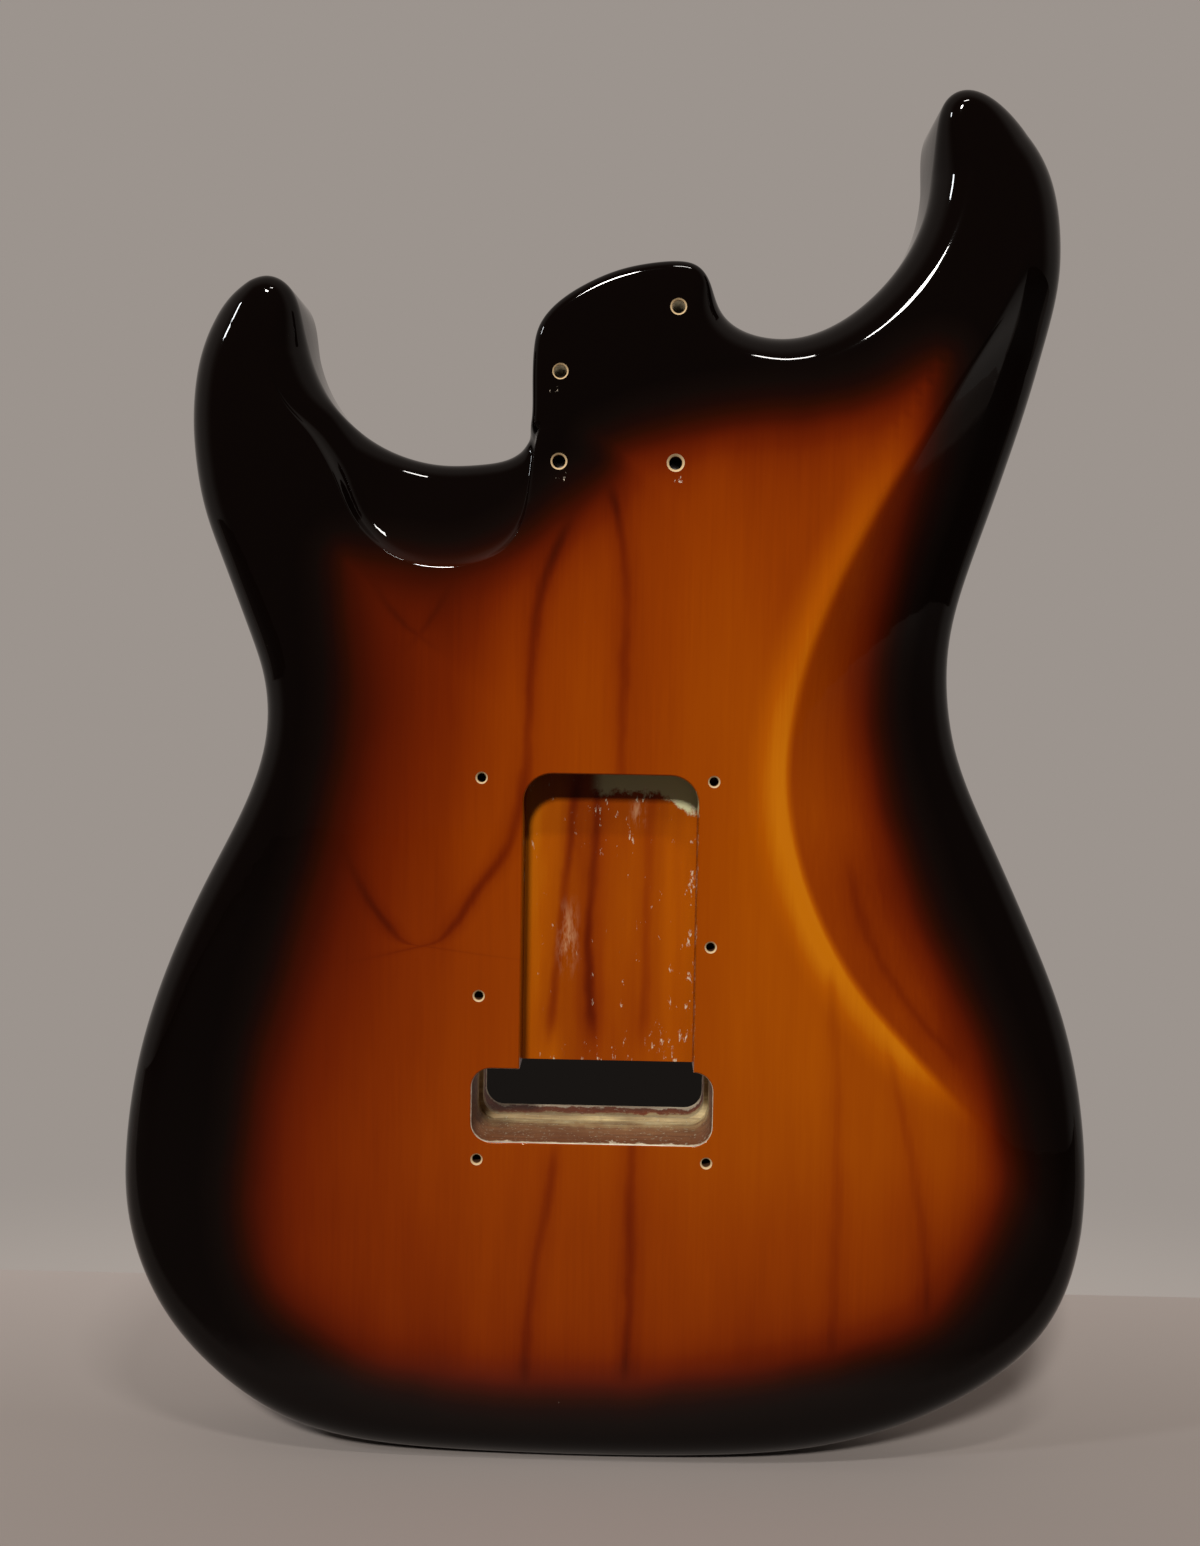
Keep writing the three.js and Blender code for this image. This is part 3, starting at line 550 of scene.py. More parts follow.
def pillow(points):
    """How far sanding and buffing lower each face towards the edge, along z."""
    edge = signed_distance(points[:, :2], outline)
    sink = PILLOW_DEPTH * np.clip(1 - edge / PILLOW_REACH, 0, 1) ** 2
    return sink * np.clip((points[:, 2] - MIDDLE_Z) / (BACK_Z - MIDDLE_Z), -1, 1)


# Cutters

def rounded(corners, radius):
    """Closed outline with each corner rounded to an arc."""
    corners = np.asarray(corners, float)
    points = []
    for k, corner in enumerate(corners):
        back = corners[k - 1] - corner
        ahead = corners[(k + 1) % len(corners)] - corner
        back_length, ahead_length = np.linalg.norm(back), np.linalg.norm(ahead)
        back, ahead = back / back_length, ahead / ahead_length
        half = math.acos(np.clip(back @ ahead, -1, 1)) / 2
        run = min(radius / math.tan(half), WALL_SHARE * min(back_length, ahead_length))
        arc_radius = run * math.tan(half)
        bisector = (back + ahead) / np.linalg.norm(back + ahead)
        centre = corner + bisector * arc_radius / math.sin(half)
        start = corner + back * run - centre
        end = corner + ahead * run - centre
        turn = math.atan2(start[0] * end[1] - start[1] * end[0], start @ end)
        for step in range(ARC_STEPS + 1):
            angle = turn * step / ARC_STEPS
            points.append(centre + (
                start[0] * math.cos(angle) - start[1] * math.sin(angle),
                start[0] * math.sin(angle) + start[1] * math.cos(angle),
            ))
    return np.array(points)


def rectangle(left, bottom, right, top):
    return np.array([(left, bottom), (right, bottom), (right, top), (left, top)], float)


def grown(loop, distance):
    """Loop moved outward by a distance."""
    area = np.sum(loop[:, 0] * np.roll(loop[:, 1], -1) - np.roll(loop[:, 0], -1) * loop[:, 1])
    along = np.roll(loop, -1, 0) - np.roll(loop, 1, 0)
    outward = np.stack([along[:, 1], -along[:, 0]], 1) * np.sign(area)
    lengths = np.linalg.norm(outward, axis=1)[:, None]
    return loop + distance * outward / np.maximum(lengths, TINY)


def loft(name, loops):
    """Closed solid through loops of drawing points that all have the same count."""
    count = len(loops[0])
    faces = [tuple(range(count)), tuple(range((len(loops) - 1) * count, len(loops) * count))]
    for k in range(len(loops) - 1):
        for j in range(count):
            nxt = (j + 1) % count
            faces.append((k * count + j, k * count + nxt, (k + 1) * count + nxt, (k + 1) * count + j))
    return make_mesh(name, np.concatenate(loops), faces)


def face_cut(name, loop, side, depth, lip=LIP_RADIUS):
    """Cutter from outside a face to a depth below it, with a rounded lip."""
    levels = [(-OVERRUN, lip)]
    if lip:
        for angle in np.linspace(0, math.pi / 2, LIP_STEPS):
            levels.append((lip * (1 - math.cos(angle)), lip * (1 - math.sin(angle))))
    levels.append((depth, 0))
    return loft(name, [
        np.column_stack([grown(loop, spread), np.full(len(loop), FACE_Z[side] - side * below)])
        for below, spread in levels
    ])


def drill(name, start, end, diameter, end_diameter=None):
    """Round cutter between two drawing points."""
    start, end = np.array(start, float), np.array(end, float)
    axis = (end - start) / np.linalg.norm(end - start)
    across = np.cross(axis, (0, 0, 1) if abs(axis[2]) < FLAT_COSINE else (1, 0, 0))
    across /= np.linalg.norm(across)
    angles = np.linspace(0, 2 * math.pi, HOLE_SIDES, endpoint=False)[:, None]
    ring = np.cos(angles) * across + np.sin(angles) * np.cross(axis, across)
    return loft(name, [start + ring * diameter / 2, end + ring * (end_diameter or diameter) / 2])


def face_hole(name, x, y, side, depth, diameter):
    start, end = (FACE_Z[side] - side * below for below in (-OVERRUN, depth))
    return drill(name, (x, y, start), (x, y, end), diameter)


def back_holes(name, places, depth, diameter, rim, rim_depth):
    """Screw holes in the back, each with a rim that widens towards the face."""
    cutters = []
    for x, y in places:
        top, bottom = (x, y, BACK_Z + rim_depth), (x, y, BACK_Z - rim_depth)
        cutters.append(face_hole(name + "_screw", x, y, 1, depth, diameter))
        cutters.append(drill(name + "_rim", top, bottom, 2 * rim - diameter, diameter))
    return cutters


def neck_cutters():
    mouth = HEEL_HALF_WIDTH + POCKET_MOUTH_FLARE
    pocket = rounded([
        (-HEEL_HALF_WIDTH, POCKET_END_Y),
        (HEEL_HALF_WIDTH, POCKET_END_Y),
        (HEEL_HALF_WIDTH, HEEL_REACH - 2 * POCKET_MOUTH_RUN),
        (mouth, HEEL_REACH - POCKET_MOUTH_RUN),
        (mouth, HEEL_REACH + OVERRUN),
        (-mouth, HEEL_REACH + OVERRUN),
        (-mouth, -POCKET_CORNER_RADIUS),
        (-HEEL_HALF_WIDTH, -POCKET_CORNER_RADIUS - POCKET_MOUTH_RUN),
    ], POCKET_CORNER_RADIUS)
    holes = back_holes("neck", NECK_SCREWS, BODY_THICKNESS, NECK_SCREW_DIAMETER,
                       NECK_SCREW_RIM_DIAMETER, NECK_SCREW_RIM_DEPTH)
    return [face_cut("neck_pocket", pocket, -1, POCKET_DEPTH, lip=0)] + holes


def tremolo_cutters():
    cavity = rectangle(-SPRING_HALF, SLOT_BOTTOM_Y + SLOT_CORNER_RADIUS, SPRING_HALF, SPRING_TOP_Y)
    slot = rectangle(SLOT_LEFT, SLOT_BOTTOM_Y, SLOT_RIGHT, SLOT_TOP_Y)
    ledge = rectangle(
        SLOT_LEFT + SLOT_LEDGE_WIDTH, SLOT_BOTTOM_Y + SLOT_LEDGE_WIDTH,
        SLOT_RIGHT - SLOT_LEDGE_WIDTH, SLOT_TOP_Y - SLOT_LEDGE_WIDTH,
    )
    link_bottom, link_top = SLOT_TOP_Y - SLOT_HEIGHT / 2, SLOT_TOP_Y + SPRING_CORNER_RADIUS
    link = rectangle(-SPRING_HALF, link_bottom, SPRING_HALF, link_top)
    cutters = [
        face_cut("spring_cavity", rounded(cavity, SPRING_CORNER_RADIUS), 1, SPRING_DEPTH),
        face_cut("spring_link", link, 1, SPRING_DEPTH, lip=0),
        face_cut("slot", rounded(slot, SLOT_CORNER_RADIUS), 1, SLOT_LEDGE_DEPTH),
        face_cut("ledge", rounded(ledge, SLOT_CORNER_RADIUS), 1, BODY_THICKNESS + OVERRUN, lip=0),
    ]
    claw_z = BACK_Z - CLAW_SCREW_DEPTH
    for x in (-CLAW_SCREW_X, CLAW_SCREW_X):
        start, end = (x, SPRING_TOP_Y - OVERRUN, claw_z), (x, SPRING_TOP_Y + CLAW_SCREW_LENGTH, claw_z)
        cutters.append(drill("claw_screw", start, end, CLAW_SCREW_DIAMETER))
    cutters += back_holes("cover", COVER_SCREWS, COVER_SCREW_DEPTH, COVER_SCREW_DIAMETER,
                          COVER_SCREW_RIM_DIAMETER, COVER_SCREW_RIM_DEPTH)
    bore = BUSHING_DIAMETER + 2 * BUSHING_CLEARANCE
    for x in (-STUD_SPACING / 2, STUD_SPACING / 2):
        cutters.append(face_hole("stud", x, STUD_Y, -1, BUSHING_LENGTH, bore))
    return cutters


def turned(points, degrees):
    angle = math.radians(degrees)
    return points @ np.array([[math.cos(angle), math.sin(angle)], [-math.sin(angle), math.cos(angle)]])


def channel(start, end, width):
    """Outline of a channel of even width with round ends."""
    start, end = np.array(start, float), np.array(end, float)
    along = (end - start) / np.linalg.norm(end - start) * width / 2
    across = np.array([-along[1], along[0]])
    return rounded(
        [start - along - across, end + along - across, end + along + across, start - along + across],
        width / 2,
    )


def electronics_cutters():
    control = on_body(CONTROL_SHARES)
    control_depth = BODY_THICKNESS - CONTROL_BACK_WALL
    cutters = [face_cut("control_cavity", rounded(control, CONTROL_CORNER_RADIUS), -1, control_depth)]
    half_length, half_width = PICKUP_LENGTH / 2, PICKUP_WIDTH / 2
    for y, slant in zip(PICKUP_YS, (0, 0, BRIDGE_PICKUP_SLANT)):
        corners = turned(rectangle(-half_length, -half_width, half_length, half_width), slant) + (0, y)
        cutters.append(face_cut("pickup_rout", rounded(corners, PICKUP_CORNER_RADIUS), -1, PICKUP_DEPTH))
    wire_x = half_length - CHANNEL_WIDTH
    cavity_top = (control[0] + control[1]) / 2 - (0, CHANNEL_WIDTH)
    for start, end in (
        ((wire_x, PICKUP_YS[0]), (wire_x, PICKUP_YS[2])),
        ((-wire_x, PICKUP_YS[1]), cavity_top),
    ):
        wires = channel(start, end, CHANNEL_WIDTH)
        cutters.append(face_cut("wire_channel", wires, -1, CHANNEL_DEPTH, lip=0))
    ground_z = BACK_Z - SPRING_DEPTH + GROUND_HOLE_DIAMETER
    start, end = (0, GROUND_HOLE_Y, ground_z), (control[1][0], GROUND_HOLE_Y, ground_z)
    cutters.append(drill("ground_hole", start, end, GROUND_HOLE_DIAMETER))
    jack = on_body(JACK_SHARES)
    turn = math.radians(JACK_TURN)
    reach = np.array([math.cos(turn), math.sin(turn)]) * (JACK_LENGTH - JACK_WIDTH) / 2
    cutters.append(face_cut("jack_recess", channel(jack - reach, jack + reach, JACK_WIDTH), -1, JACK_DEPTH))
    hole_z = FRONT_Z + JACK_DEPTH - JACK_HOLE_DIAMETER / 2
    foot = (control[4] + control[5]) / 2 + (0, JACK_HOLE_DIAMETER)
    cutters.append(drill("jack_hole", (*jack, hole_z), (*foot, hole_z), JACK_HOLE_DIAMETER))
    for x, y in on_body(GUARD_SCREW_SHARES):
        cutters.append(face_hole("guard_screw", x, y, -1, GUARD_SCREW_DEPTH, GUARD_SCREW_DIAMETER))
    for share in STRAP_SCREW_SHARES:
        i = nearest_sample(share)
        start, end = (outline[i] + inward[i] * depth for depth in (-OVERRUN, STRAP_SCREW_LENGTH))
        cutters.append(drill("strap_screw", (*start, MIDDLE_Z), (*end, MIDDLE_Z), STRAP_SCREW_DIAMETER))
    return cutters


def with_booleans(obj, cutters, operation):
    """Mesh of an object after boolean cuts. The cutters are removed."""
    scene = bpy.context.scene.collection
    scene.objects.link(obj)
    for cutter in cutters:
        scene.objects.link(cutter)
        modifier = obj.modifiers.new(cutter.name, "BOOLEAN")
        modifier.object = cutter
        modifier.operation = operation
        modifier.solver = "MANIFOLD"
    bpy.context.view_layer.update()
    evaluated = obj.evaluated_get(bpy.context.evaluated_depsgraph_get())
    mesh = bpy.data.meshes.new_from_object(evaluated)
    obj.modifiers.clear()
    for cutter in cutters:
        bpy.data.objects.remove(cutter)
    scene.objects.unlink(obj)
    return mesh


def box_cutter(name, low, high):
    loop = rectangle(low[0], low[1], high[0], high[1])
    return loft(name, [np.column_stack([loop, np.full(4, z)]) for z in (low[2], high[2])])


# Smooth normals, zones and planks

class BlankSurface:
    """The uncut body's surface, to look up smooth normals."""

    def __init__(self, mesh):
        mesh.calc_loop_triangles()
        self.points = np.array([v.co for v in mesh.vertices])
        self.normals = np.array([v.normal for v in mesh.vertices])
        self.triangles = [tuple(t.vertices) for t in mesh.loop_triangles]
        self.tree = BVHTree.FromPolygons([tuple(p) for p in self.points], self.triangles)

    def normal_at(self, point):
        """Smooth normal at the nearest surface point, and the distance to it."""
        location, _, index, distance = self.tree.find_nearest(point)
        corners = self.triangles[index]
        a, b, c = (self.points[k] for k in corners)
        weights = barycentric(np.array(location), a, b, c)
        normal = sum(weight * self.normals[k] for weight, k in zip(weights, corners))
        return normal / max(np.linalg.norm(normal), TINY), distance

    def holds(self, point, normal):
        """Whether a point of a face with that normal lies on the surface."""
        _, face_normal, _, distance = self.tree.find_nearest(point)
        return distance < FACE_TOLERANCE and face_normal.dot(normal) > SAME_SIDE_COSINE


def barycentric(point, a, b, c):
    ab, ac, ap = b - a, c - a, point - a
    d00, d01, d11, d20, d21 = ab @ ab, ab @ ac, ac @ ac, ap @ ab, ap @ ac
    scale = d00 * d11 - d01 * d01
    if scale < THIN_TRIANGLE:
        return 1, 0, 0
    v = (d11 * d20 - d01 * d21) / scale
    w = (d00 * d21 - d01 * d20) / scale
    return 1 - v - w, v, w


# Places of the finishes in each plank's list of materials
LACQUER, CAVITY, SLOT, HOLE, POCKET, ROUTE = range(6)


def in_box(point, left, bottom, right, top, margin):
    return left - margin < point[0] < right + margin and bottom - margin < point[1] < top + margin


def in_back_hole(centre):
    """Whether a point lies in a screw hole of the back, its chipped rim included."""
    x, y, z = centre
    holes = [(hole, NECK_SCREW_RIM_DIAMETER) for hole in NECK_SCREWS]
    holes += [(hole, COVER_SCREW_RIM_DIAMETER) for hole in COVER_SCREWS]
    return z > 0 and any(math.hypot(x - a, y - b) < diameter / 2 for (a, b), diameter in holes)


def zone_of(centre):
    """Material index of a cut face, from its middle in drawing axes."""
    lip = LIP_RADIUS + ZONE_MARGIN
    floor_z = BACK_Z - SPRING_DEPTH - ZONE_MARGIN
    if in_box(centre, SLOT_LEFT, SLOT_BOTTOM_Y, SLOT_RIGHT, SLOT_TOP_Y, lip):
        return SLOT
    if centre[2] > floor_z and in_box(centre, -SPRING_HALF, SLOT_TOP_Y, SPRING_HALF, SPRING_TOP_Y, lip):
        return CAVITY
    mouth = HEEL_HALF_WIDTH + POCKET_MOUTH_FLARE
    if centre[2] < ZONE_MARGIN and in_box(centre, -mouth, POCKET_END_Y, mouth, HEEL_REACH, ZONE_MARGIN):
        return POCKET
    return ROUTE


def add_values(mesh, name, values):
    attribute = mesh.attributes.new(name, "FLOAT", "POINT")
    attribute.data.foreach_set("value", np.asarray(values, np.float32))


def finish_plank(mesh, surface):
    """Smooth normals from the blank, distances for the shaders and the zone of each face."""
    found = [surface.normal_at(v.co) for v in mesh.vertices]
    normals = np.array([normal for normal, _ in found])
    on_surface = np.array([distance < SURFACE_TOLERANCE for _, distance in found])
    points = np.array([v.co for v in mesh.vertices])
    drawing = np.stack([points[:, 0], points[:, 2], -points[:, 1]], 1) / MM
    edge = signed_distance(drawing[:, :2], outline)
    burst_loop = even_points(smooth_line(BURST_EDGE + BURST_EDGE[:1]), BURST_POINTS)[:-1]
    back_burst = signed_distance(drawing[:, :2], burst_loop)
    front_share = smoothstep(-drawing[:, 2], -MIDDLE_Z - FRONT_BLEND, -MIDDLE_Z + FRONT_BLEND)
    add_values(mesh, "burst", back_burst + (edge - FRONT_BURST_INSET - back_burst) * front_share)
    belly_line = smooth_line(on_body(BELLY_CREASE_SHARES[1:-1]), BELLY_LINE_STEPS)
    belly = line_distance(drawing[:, :2], belly_line)
    add_values(mesh, "belly", np.where(front_share > 0.5, -BODY_WIDTH, -belly))
    add_values(mesh, "front", front_share)
    mesh.polygons.foreach_set("use_smooth", np.ones(len(mesh.polygons), bool))
    mesh.set_sharp_from_angle(angle=SMOOTH_ANGLE)
    loop_normals = np.zeros((len(mesh.loops), 3))
    loop_vertices = np.zeros(len(mesh.loops), np.int32)
    mesh.loops.foreach_get("vertex_index", loop_vertices)
    limit = math.cos(SMOOTH_ANGLE)
    for polygon in mesh.polygons:
        corners = slice(polygon.loop_start, polygon.loop_start + polygon.loop_total)
        ids = loop_vertices[corners]
        outside = on_surface[ids] & (normals[ids] @ np.array(polygon.normal) > limit)
        loop_normals[corners][outside] = normals[ids][outside]
        centre = drawing[ids].mean(0)
        if in_back_hole(centre) and polygon.normal.y > -FLAT_COSINE:
            polygon.material_index = HOLE
        elif surface.holds(polygon.center, polygon.normal):
            polygon.material_index = LACQUER
        else:
            polygon.material_index = zone_of(centre)
    mesh.normals_split_custom_set([tuple(n) for n in loop_normals])


def make_planks():
    blank = make_blank()
    surface = BlankSurface(blank.data)
    cutters = neck_cutters() + tremolo_cutters() + electronics_cutters()
    body = bpy.data.objects.new("body", with_booleans(blank, cutters, "DIFFERENCE"))
    far = 2 * BODY_LENGTH
    planks = {}
    for name, left, right in (
        ("treble_plank", -far, TREBLE_JOINT_X),
        ("centre_plank", TREBLE_JOINT_X, BASS_JOINT_X),
        ("bass_plank", BASS_JOINT_X, far),
    ):
        box = box_cutter(name + "_box", (left, -far, -far), (right, far, far))
        mesh = with_booleans(body, [box], "INTERSECT")
        mesh.name = name + "_wood"
        finish_plank(mesh, surface)
        plank = bpy.data.objects.new(name + "_wood", mesh)
        bpy.context.scene.collection.objects.link(plank)
        planks[name] = plank
    return planks


# Node trees

def srgb(red, green, blue):
    """Linear colour from 0 to 255 screen values."""
    def linear(value):
        value /= 255
        return value / 12.92 if value <= 0.04045 else ((value + 0.055) / 1.055) ** 2.4
    return linear(red), linear(green), linear(blue), 1


class Value:
    """A number or colour in a node tree, with the sums that the finishes need."""

    def __init__(self, shader, socket):
        self.shader = shader
        self.socket = socket

    def __add__(self, other):
        return self.shader.math("ADD", self, other)

    def __sub__(self, other):
        return self.shader.math("SUBTRACT", self, other)

    def __rsub__(self, other):
        return self.shader.math("SUBTRACT", other, self)

    def __mul__(self, other):
        return self.shader.math("MULTIPLY", self, other)

    def __truediv__(self, other):
        return self.shader.math("DIVIDE", self, other)

    def __pow__(self, other):
        return self.shader.math("POWER", self, other)

    def __abs__(self):
        return self.shader.math("ABSOLUTE", self)

    def larger(self, other):
        return self.shader.math("MAXIMUM", self, other)

    def fade(self, low, high, start=0.0, end=1.0):
        """Smooth change from start to end as the value goes from low to high."""
        inputs = {"Value": self, "From Min": low, "From Max": high, "To Min": start, "To Max": end}
        return self.shader.node("MapRange", "Result", inputs, interpolation_type="SMOOTHSTEP")

    def bump_at(self, middle, width):
        """One at the middle, smoothly nought a width to either side."""
        return abs(self - middle).fade(0, width, 1, 0)

    def ramp(self, stops):
        """Colour along a list of (value from 0 to 1, colour)."""
        result = self.shader.node("ValToRGB", "Color", {"Fac": self})
        elements = result.socket.node.color_ramp.elements
        while len(elements) > 1:
            elements.remove(elements[-1])
        for k, (position, colour) in enumerate(stops):
            element = elements[0] if k == 0 else elements.new(position)
            element.position = position
            element.color = srgb(*colour)
        return result

    def curve(self, values, results, points):
        """Smooth curve through (value, result) points, between two end values and two end results."""
        low, high = values
        bottom, top = results
        share = self.shader.math("DIVIDE", self - low, high - low, clamp=True)
        result = self.shader.node("FloatCurve", 0, {"Value": share})
        mapping = result.socket.node.mapping
        curve = mapping.curves[0]
        places = sorted(((x - low) / (high - low), (y - bottom) / (top - bottom)) for x, y in points)
        for k, place in enumerate(places):
            if k < 2:
                curve.points[k].location = place
            else:
                curve.points.new(*place)
        mapping.update()
        return result * (top - bottom) + bottom

    def toward(self, colour, share):
        """This colour, changed into another by a share."""
        return self.shader.mix(share, self, colour)


class Shader:
    """A node tree with short calls for the nodes that the finishes need."""

    def __init__(self, tree, place):
        self.tree = tree
        self.place = self.node("TexCoord", place, {})

    def put(self, value, socket):
        if isinstance(value, Value):
            self.tree.links.new(value.socket, socket)
        else:
            socket.default_value = value

    def node(self, kind, output, inputs, **settings):
        """One output of a new node, with its inputs as values or links."""
        node = self.tree.nodes.new("ShaderNode" + kind)
        for name, setting in settings.items():
            setattr(node, name, setting)
        for name, value in inputs.items():
            self.put(value, node.inputs[name])
        return Value(self, node.outputs[output])

    def set(self, **values):
        """Values or links for the Principled sockets, by name with _ for a space."""
        principled = self.tree.nodes["Principled BSDF"]
        for name, value in values.items():
            self.put(value, principled.inputs[name.replace("_", " ")])

    def math(self, operation, *values, clamp=False):
        return self.node("Math", 0, dict(enumerate(values)), operation=operation, use_clamp=clamp)

    def axis(self, name):
        """One coordinate of the row frame, in millimetres."""
        return self.node("SeparateXYZ", name, {0: self.place}) * (1 / MM)

    def drawing(self):
        """Drawing x and y, and the depth below the back face, in millimetres."""
        return self.axis("X"), self.axis("Z"), self.axis("Y") + BACK_Z

    def attribute(self, name):
        return self.node("Attribute", "Fac", {}, attribute_name=name)

    def noise(self, stretch, scale, detail=3, roughness=0.5, place=(0, 0, 0)):
        """Noise from 0 to 1. Stretch multiplies each axis of the row frame, scale is in features a metre."""
        spot = self.node("Mapping", 0, {"Vector": self.place, "Scale": stretch, "Location": place})
        inputs = {"Vector": spot, "Scale": scale, "Detail": detail, "Roughness": roughness}
        return self.node("TexNoise", "Fac", inputs)

    def mix(self, share, first, second):
        """The first colour, changed into the second by a share. Colours are values or 0 to 255 each."""
        node = self.node("Mix", 0, {"Factor": share}, data_type="RGBA").socket.node
        sockets = [socket for socket in node.inputs if socket.type == "RGBA"]
        for colour, socket in zip((first, second), sockets):
            self.put(colour if isinstance(colour, Value) else srgb(*colour), socket)
        return Value(self, next(socket for socket in node.outputs if socket.type == "RGBA"))

    def bump(self, height, distance, strength):
        return self.node("Bump", 0, {"Height": height, "Distance": distance, "Strength": strength})


def new_material(name):
    """A material and the short calls for its nodes."""
    material = bpy.data.materials.new(name)
    material.use_nodes = True
    return material, Shader(material.node_tree, "Object")


# Noise patterns: stretch of each axis, features a metre, detail, roughness and place
LINE_WANDER = ((1, 1, 0.4), 45, 2, 0.5, (3, 0, 0))
LINE_SHAKE = ((1, 1, 0.5), 260, 2, 0.5, (5, 0, 0))
BURST_CLOUD = ((1, 1, 0.6), 28, 2)
WOOD_FIGURE = ((1, 1, 0.16), 60, 3, 0.5, (0, 0, 2))
FINE_GRAIN = ((1, 1, 0.03), 900, 3, 0.7)
CHIP_FLECKS = ((1, 1, 0.6), 900, 3, 0.7, (4, 0, 0))
LACQUER_RIPPLE = ((1, 1, 1), 55, 2)
ORANGE_PEEL = ((1, 1, 1), 900, 2)
CAVITY_STREAKS = ((1, 1, 0.05), 160, 4, 0.6)
CAVITY_BAND = ((1, 1, 0.2), 60, 3, 0.5, (1, 0, 0))
CAVITY_STAIN = ((1, 1, 1), 90, 4, 0.7)
CAVITY_FLECKS = ((1, 1, 0.35), 420, 5, 0.75)
PRIMER_EDGE = ((1, 1, 1), 260, 4, 0.7)
RUB_MARKS = ((1, 1, 0.25), 320, 4, 0.7, (7, 0, 0))
LAYER_EDGE = ((1, 0.4, 1), 240, 4, 0.7)
SLOT_STREAKS = ((0.08, 1, 1), 500, 4, 0.65)
SLOT_STAIN = ((0.4, 1, 1), 70, 3, 0.6, (6, 0, 0))
SLOT_CHIPS = ((1, 1, 1), 700, 4, 0.7, (2, 0, 0))
HOLE_SPECKLE = ((1, 1, 1), 1500, 3, 0.7)
ROUTED_GRAIN = ((1, 1, 0.05), 420, 4, 0.65)
CUTTER_MARKS = ((0.2, 1, 0.2), 1200, 2, 0.6)
SPRAY_CLOUD = ((1, 1, 1), 60, 3)
STEEL_RINGS = ((0.2, 3, 0.2), 2500, 3, 0.6)
STEEL_SMUDGE = ((1, 1, 1), 300, 3)
FLOOR_CLOUD = ((1, 1, 1), 9, 3)
LINE_SWELL = ((1, 1, 0.6), 40, 2)

# Colours of the wood and of what lies on it, and of painted light in the upper neck holes
CHIPPED_LACQUER = (205, 190, 170)
PRIMER = (205, 202, 160)
RUBBED_WOOD = (214, 170, 128)
SCUFFED_WOOD = (214, 198, 170)
STREAKED_WOOD = (78, 42, 22)
STAINED_WOOD = (96, 54, 28)
CHIPPED_FILLER = (214, 206, 176)
HOLE_PAINTED_LIGHT = (205, 198, 182)
# painted light inside the upper two neck screw holes
OVERSPRAY = (26, 14, 9)
POCKET_WOOD = ((205, 168, 118), (172, 128, 78))
ROUTED_WOOD = ((176, 120, 62), (130, 78, 34))
STEEL = ((190, 188, 182), (150, 146, 138))

# Finishes: roughness, roughness of the coat, and height and strength of the bump
COAT_IOR = 1.3
LACQUER_ROUGHNESS, LACQUER_COAT_ROUGHNESS, LACQUER_BUMP = 0.42, 0.035, (0.35 * MM, 0.35)
CAVITY_ROUGHNESS, CAVITY_COAT_ROUGHNESS, CAVITY_BUMP = 0.4, 0.2, (0.4 * MM, 0.5)
SLOT_ROUGHNESS, SLOT_BUMP = 0.6, (0.5 * MM, 0.6)
WOOD_ROUGHNESS, WOOD_SPECULAR, WOOD_BUMP = 0.62, 0.3, (0.3 * MM, 0.5)
HOLE_ROUGHNESS, HOLE_SPECULAR = 0.8, 0.2
STEEL_ROUGHNESS, STEEL_BUMP = (0.24, 0.42), (0.1 * MM, 0.4)
SMUDGE_TONES, SMUDGE_LEVELS = (0.3, 0.8), (0.2, 0.8)
FLOOR_ROUGHNESS, FLOOR_SPECULAR = 0.8, 0.1
PEEL_SHARE = 0.012


def set_lacquer(shader, colour, roughness, coat_roughness, normal):
    """A dull coloured layer under a clear coat."""
    shader.set(
        Base_Color=colour,
        Roughness=roughness,
        Specular_IOR_Level=0,
        Coat_Weight=1,
        Coat_IOR=COAT_IOR,
        Coat_Roughness=coat_roughness,
        Coat_Normal=normal,
    )


def set_wood(shader, colour, roughness, normal):
    """Bare wood without a coat."""
    shader.set(Base_Color=colour, Roughness=roughness, Specular_IOR_Level=WOOD_SPECULAR, Normal=normal)


# Colours of the burst from the sprayed black edge to the brightest amber
BURST_TONES = [
    (0.00, (7, 3, 2)), (0.08, (13, 6, 4)), (0.16, (23, 6, 3)), (0.24, (38, 9, 1)),
    (0.32, (60, 13, 1)), (0.40, (82, 20, 1)), (0.50, (103, 30, 1)), (0.60, (121, 42, 1)),
    (0.70, (137, 54, 1)), (0.80, (151, 67, 1)), (0.90, (167, 80, 1)), (1.00, (188, 106, 8)),
]
# Tone by distance inside the burst's edge in millimetres, at the right and top, and on the treble side
QUICK_FADE = [
    (-12, 0), (-6, 0.08), (-2, 0.15), (2, 0.24), (6, 0.33), (10, 0.45), (14, 0.54), (18, 0.61),
    (24, 0.66), (32, 0.69), (64, 0.73),
]
SLOW_FADE = [
    (-12, 0), (-6, 0.06), (-2, 0.13), (2, 0.21), (6, 0.28), (10, 0.33), (14, 0.38), (18, 0.43),
    (24, 0.48), (32, 0.53), (64, 0.66),
]
FADE_RANGE, TONE_RANGE = (-12, 64), (0, 1)
# Tones between which the wood starts to show through the burst
LIT_TONES = (0.3, 0.6)
